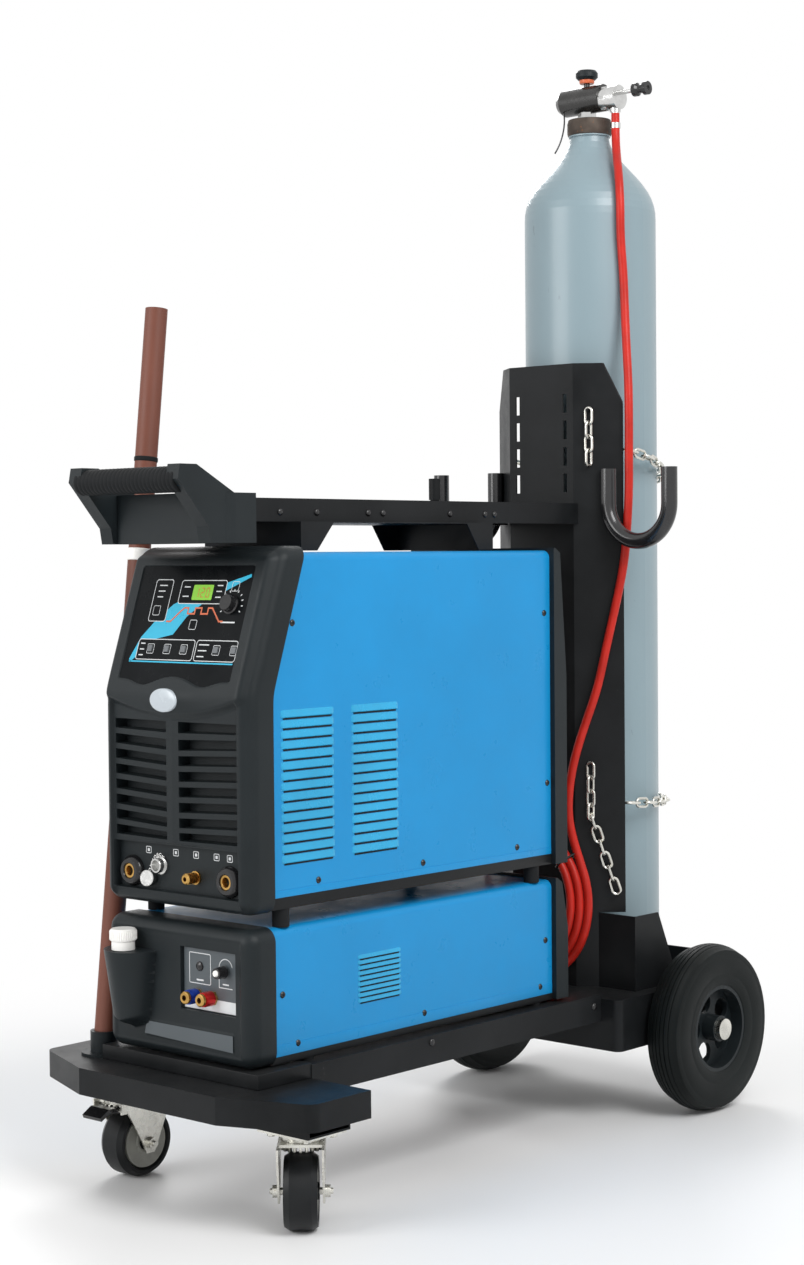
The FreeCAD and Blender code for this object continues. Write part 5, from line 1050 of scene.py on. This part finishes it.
# %% Neck ring and tube rings
ring = lathe([(0.0335, 0.0), (0.0362, 0.002), (0.0372, 0.006), (0.0372, 0.022),
              (0.0355, 0.0275), (0.012, 0.0290), (0.0, 0.0290), (0.0, 0.0)],
             (0, 0.458, 1.6042), (0, 0, 1), 72)
build("neck_ring", [ring], FINISH["neck_iron"])
lean = np.array([0, 0.10973, 0.99396])
foot = np.array([-0.185, -0.472, 0.194])
dark = lathe([(0.0166, 0), (0.0176, 0.001), (0.0176, 0.006), (0.0166, 0.007), (0.0166, 0)],
             foot + lean * 0.858, lean, 40)
build("tube_rings", [dark], FINISH["rubber_black"])
pale = lathe([(0.0166, 0), (0.0182, 0.001), (0.0182, 0.017), (0.0166, 0.018), (0.0166, 0)],
             foot + lean * 0.712, lean, 40)
build("tube_collar", [pale], FINISH["white_plastic"])

# %% Chain ends that reach the tray
def chain_link(centre, along, normal, long=0.0315, wide=0.018, wire=0.0045):
    """A stadium of wire: two half circles joined by straight sides."""
    bend = (wide - wire) / 2
    run = long / 2 - wire / 2 - bend
    t = np.linspace(-np.pi / 2, np.pi / 2, 9)
    half = np.stack([run + bend * np.cos(t), bend * np.sin(t)], 1)
    flat = np.vstack([half, -half])
    across = np.cross(normal, along)
    return tube(np.asarray(centre) + flat[:, :1] * along + flat[:, 1:] * across,
                wire / 2, 8, True)


top, bottom = np.array([0.091, 0.331, 0.482]), np.array((0.128, 0.359, 0.342))
along = (bottom - top) / np.linalg.norm(bottom - top)
out = np.array([0.623, -0.783, 0.0])
out = out - along * out.dot(along)
out /= np.linalg.norm(out)
pitch = 0.0222
count = int(np.linalg.norm(bottom - top) / pitch)
for side in (-1, 1):
    turn_over = np.array([side, 1, 1])
    links = [chain_link(turn_over * (top + along * pitch * (k + 0.5)), turn_over * along,
                        turn_over * (out if k % 2 else np.cross(along, out)))
             for k in range(count)]
    build(("left" if side < 0 else "right") + "_chain_end", links, FINISH["bright_zinc"])

# %% Valve details
nut = lathe([(0.0, 0), (0.0155, 0), (0.0155, 0.011), (0.0, 0.011)], (-0.005, 0.458, 1.6335),
            (0, 0, 1), 6)
hexes = [nut, lathe([(0.0, 0), (0.0215, 0), (0.0215, 0.010), (0.0, 0.010)],
                    (0.0325, 0.458, 1.663), (1, 0, 0), 6)]
build("valve_nuts", hexes, FINISH["regulator_metal"])
under = lathe([(0.0054, 0), (0.0115, 0), (0.0125, 0.002), (0.0125, 0.006), (0.0054, 0.006),
               (0.0054, 0)], (-0.005, 0.458, 1.6935), (0, 0, 1), 40)
build("valve_tag", [under], PRINT["print_orange"])
t = np.linspace(0, 1, 25)[:, None]
thread = ((1 - t) ** 3 * np.array([-0.044, 0.444, 1.650])
          + 3 * t * (1 - t) ** 2 * np.array([-0.024, 0.424, 1.632])
          + 3 * t ** 2 * (1 - t) * np.array([-0.022, 0.418, 1.600])
          + t ** 3 * np.array([-0.044, 0.420, 1.578]))
build("cap_lead", [tube(thread, 0.0013, 8)], FINISH["hook_black"])

# %% [markdown]
# ## Light, floor and camera
# A pale floor runs up into a wall and keeps the cart's shadow. Further out it fades to
# plain white for rays that come from the camera or off shiny surfaces, so the backdrop
# needs no extra light. Three large soft lamps light the cart, and the camera stands to
# the right of the front, a little above the middle of the cart.

# %% Floor and wall
bpy.context.scene.view_settings.view_transform = "Standard"
reach = np.linspace(-6, 6, 3)
arc = np.linspace(0, np.pi / 2, 16)
line = np.vstack([[-6.0, 0.0], np.stack([5 + 1.5 * np.sin(arc), 1.5 - 1.5 * np.cos(arc)], 1),
                  [6.5, 7.0]])
turn = math.radians(41.9)
across = np.array([math.cos(turn), math.sin(turn), 0.0])
away = np.array([-math.sin(turn), math.cos(turn), 0.0])
sweep = (reach[:, None, None] * across + line[None, :, :1] * away
         + line[None, :, 1:] * np.array([0.0, 0.0, 1.0]))
v, f = grid(sweep)
mesh = bpy.data.meshes.new("studio_floor")
mesh.from_pydata(v.tolist(), [], f.tolist())
mesh.shade_smooth()
floor = placed("studio_floor", mesh)
pale = bpy.data.materials.new("pale_floor")
pale.use_nodes = True
paint = pale.node_tree.nodes["Principled BSDF"]
paint.inputs["Base Color"].default_value = (0.86, 0.86, 0.86, 1)
paint.inputs["Roughness"].default_value = 0.55


def seen(tree):
    """1 for a ray from the camera, off a shiny surface or through glass, otherwise 0."""
    path = tree.nodes.new("ShaderNodeLightPath")
    total = path.outputs["Is Camera Ray"]
    for name in ("Is Glossy Ray", "Is Transmission Ray"):
        most = tree.nodes.new("ShaderNodeMath")
        most.operation = "MAXIMUM"
        tree.links.new(total, most.inputs[0])
        tree.links.new(path.outputs[name], most.inputs[1])
        total = most.outputs[0]
    return total


tree = pale.node_tree
where = tree.nodes.new("ShaderNodeTexCoord")
flat = tree.nodes.new("ShaderNodeVectorMath")
flat.operation = "MULTIPLY"
flat.inputs[1].default_value = (1, 1, 0)
tree.links.new(where.outputs["Object"], flat.inputs[0])
far = tree.nodes.new("ShaderNodeVectorMath")
far.operation = "LENGTH"
tree.links.new(flat.outputs["Vector"], far.inputs[0])
fade = tree.nodes.new("ShaderNodeMapRange")
fade.interpolation_type = "SMOOTHSTEP"
SHADOW_REACH, WHITE_FROM = 0.75, 1.60
fade.inputs["From Min"].default_value = SHADOW_REACH
fade.inputs["From Max"].default_value = WHITE_FROM
tree.links.new(far.outputs["Value"], fade.inputs["Value"])
share = tree.nodes.new("ShaderNodeMath")
share.operation = "MULTIPLY"
tree.links.new(fade.outputs["Result"], share.inputs[0])
tree.links.new(seen(tree), share.inputs[1])
white = tree.nodes.new("ShaderNodeEmission")
blend = tree.nodes.new("ShaderNodeMixShader")
tree.links.new(share.outputs[0], blend.inputs["Fac"])
tree.links.new(paint.outputs["BSDF"], blend.inputs[1])
tree.links.new(white.outputs["Emission"], blend.inputs[2])
tree.links.new(blend.outputs["Shader"], tree.nodes["Material Output"].inputs["Surface"])
mesh.materials.append(pale)
print("floor", len(f), "faces")

# %% Soft lamps
def lamp(name, spot, target, width, power):
    """A square area lamp that looks from its place to a target."""
    data = bpy.data.lights.new(name, "AREA")
    data.shape = "RECTANGLE"
    data.size = width
    data.size_y = width
    data.energy = power
    obj = placed(name, data)
    obj.location = spot
    obj.rotation_mode = "QUATERNION"
    obj.rotation_quaternion = (Vector(target) - Vector(spot)).to_track_quat("-Z", "Y")


middle = (0, 0, 0.85)
lamp("key_lamp", (2.6, -0.6, 3.0), middle, 1.8, 82)
lamp("fill_lamp", (-1.2, -3.6, 2.0), middle, 2.2, 70)
lamp("rim_lamp", (-2.6, 2.6, 3.2), middle, 1.6, 60)
print("lamps", len(bpy.data.lights))
world = bpy.data.worlds.new("studio")
bpy.context.scene.world = world
world.use_nodes = True
world.node_tree.nodes["Background"].inputs["Color"].default_value = (1.0, 1.0, 1.0, 1)
tree = world.node_tree
level = tree.nodes.new("ShaderNodeMapRange")
ROOM_LIGHT = 0.55
level.inputs["To Min"].default_value = ROOM_LIGHT
level.inputs["To Max"].default_value = 1.0
tree.links.new(seen(tree), level.inputs["Value"])
tree.links.new(level.outputs["Result"], tree.nodes["Background"].inputs["Strength"])

# %% Camera
eye = Vector((2.3668, -2.6616, 0.905))
forward = Vector((-0.66749, 0.74394, -0.03298))
data = bpy.data.cameras.new("front_right")
data.lens = 65.8
data.sensor_width = 36
camera = placed("front_right", data)
camera.location = eye
camera.rotation_mode = "QUATERNION"
camera.rotation_quaternion = (forward.to_track_quat("-Z", "Y")
                              @ Quaternion((0, 0, 1), math.radians(-0.5)))
bpy.context.scene.camera = camera
print("camera at", tuple(round(c, 2) for c in eye))
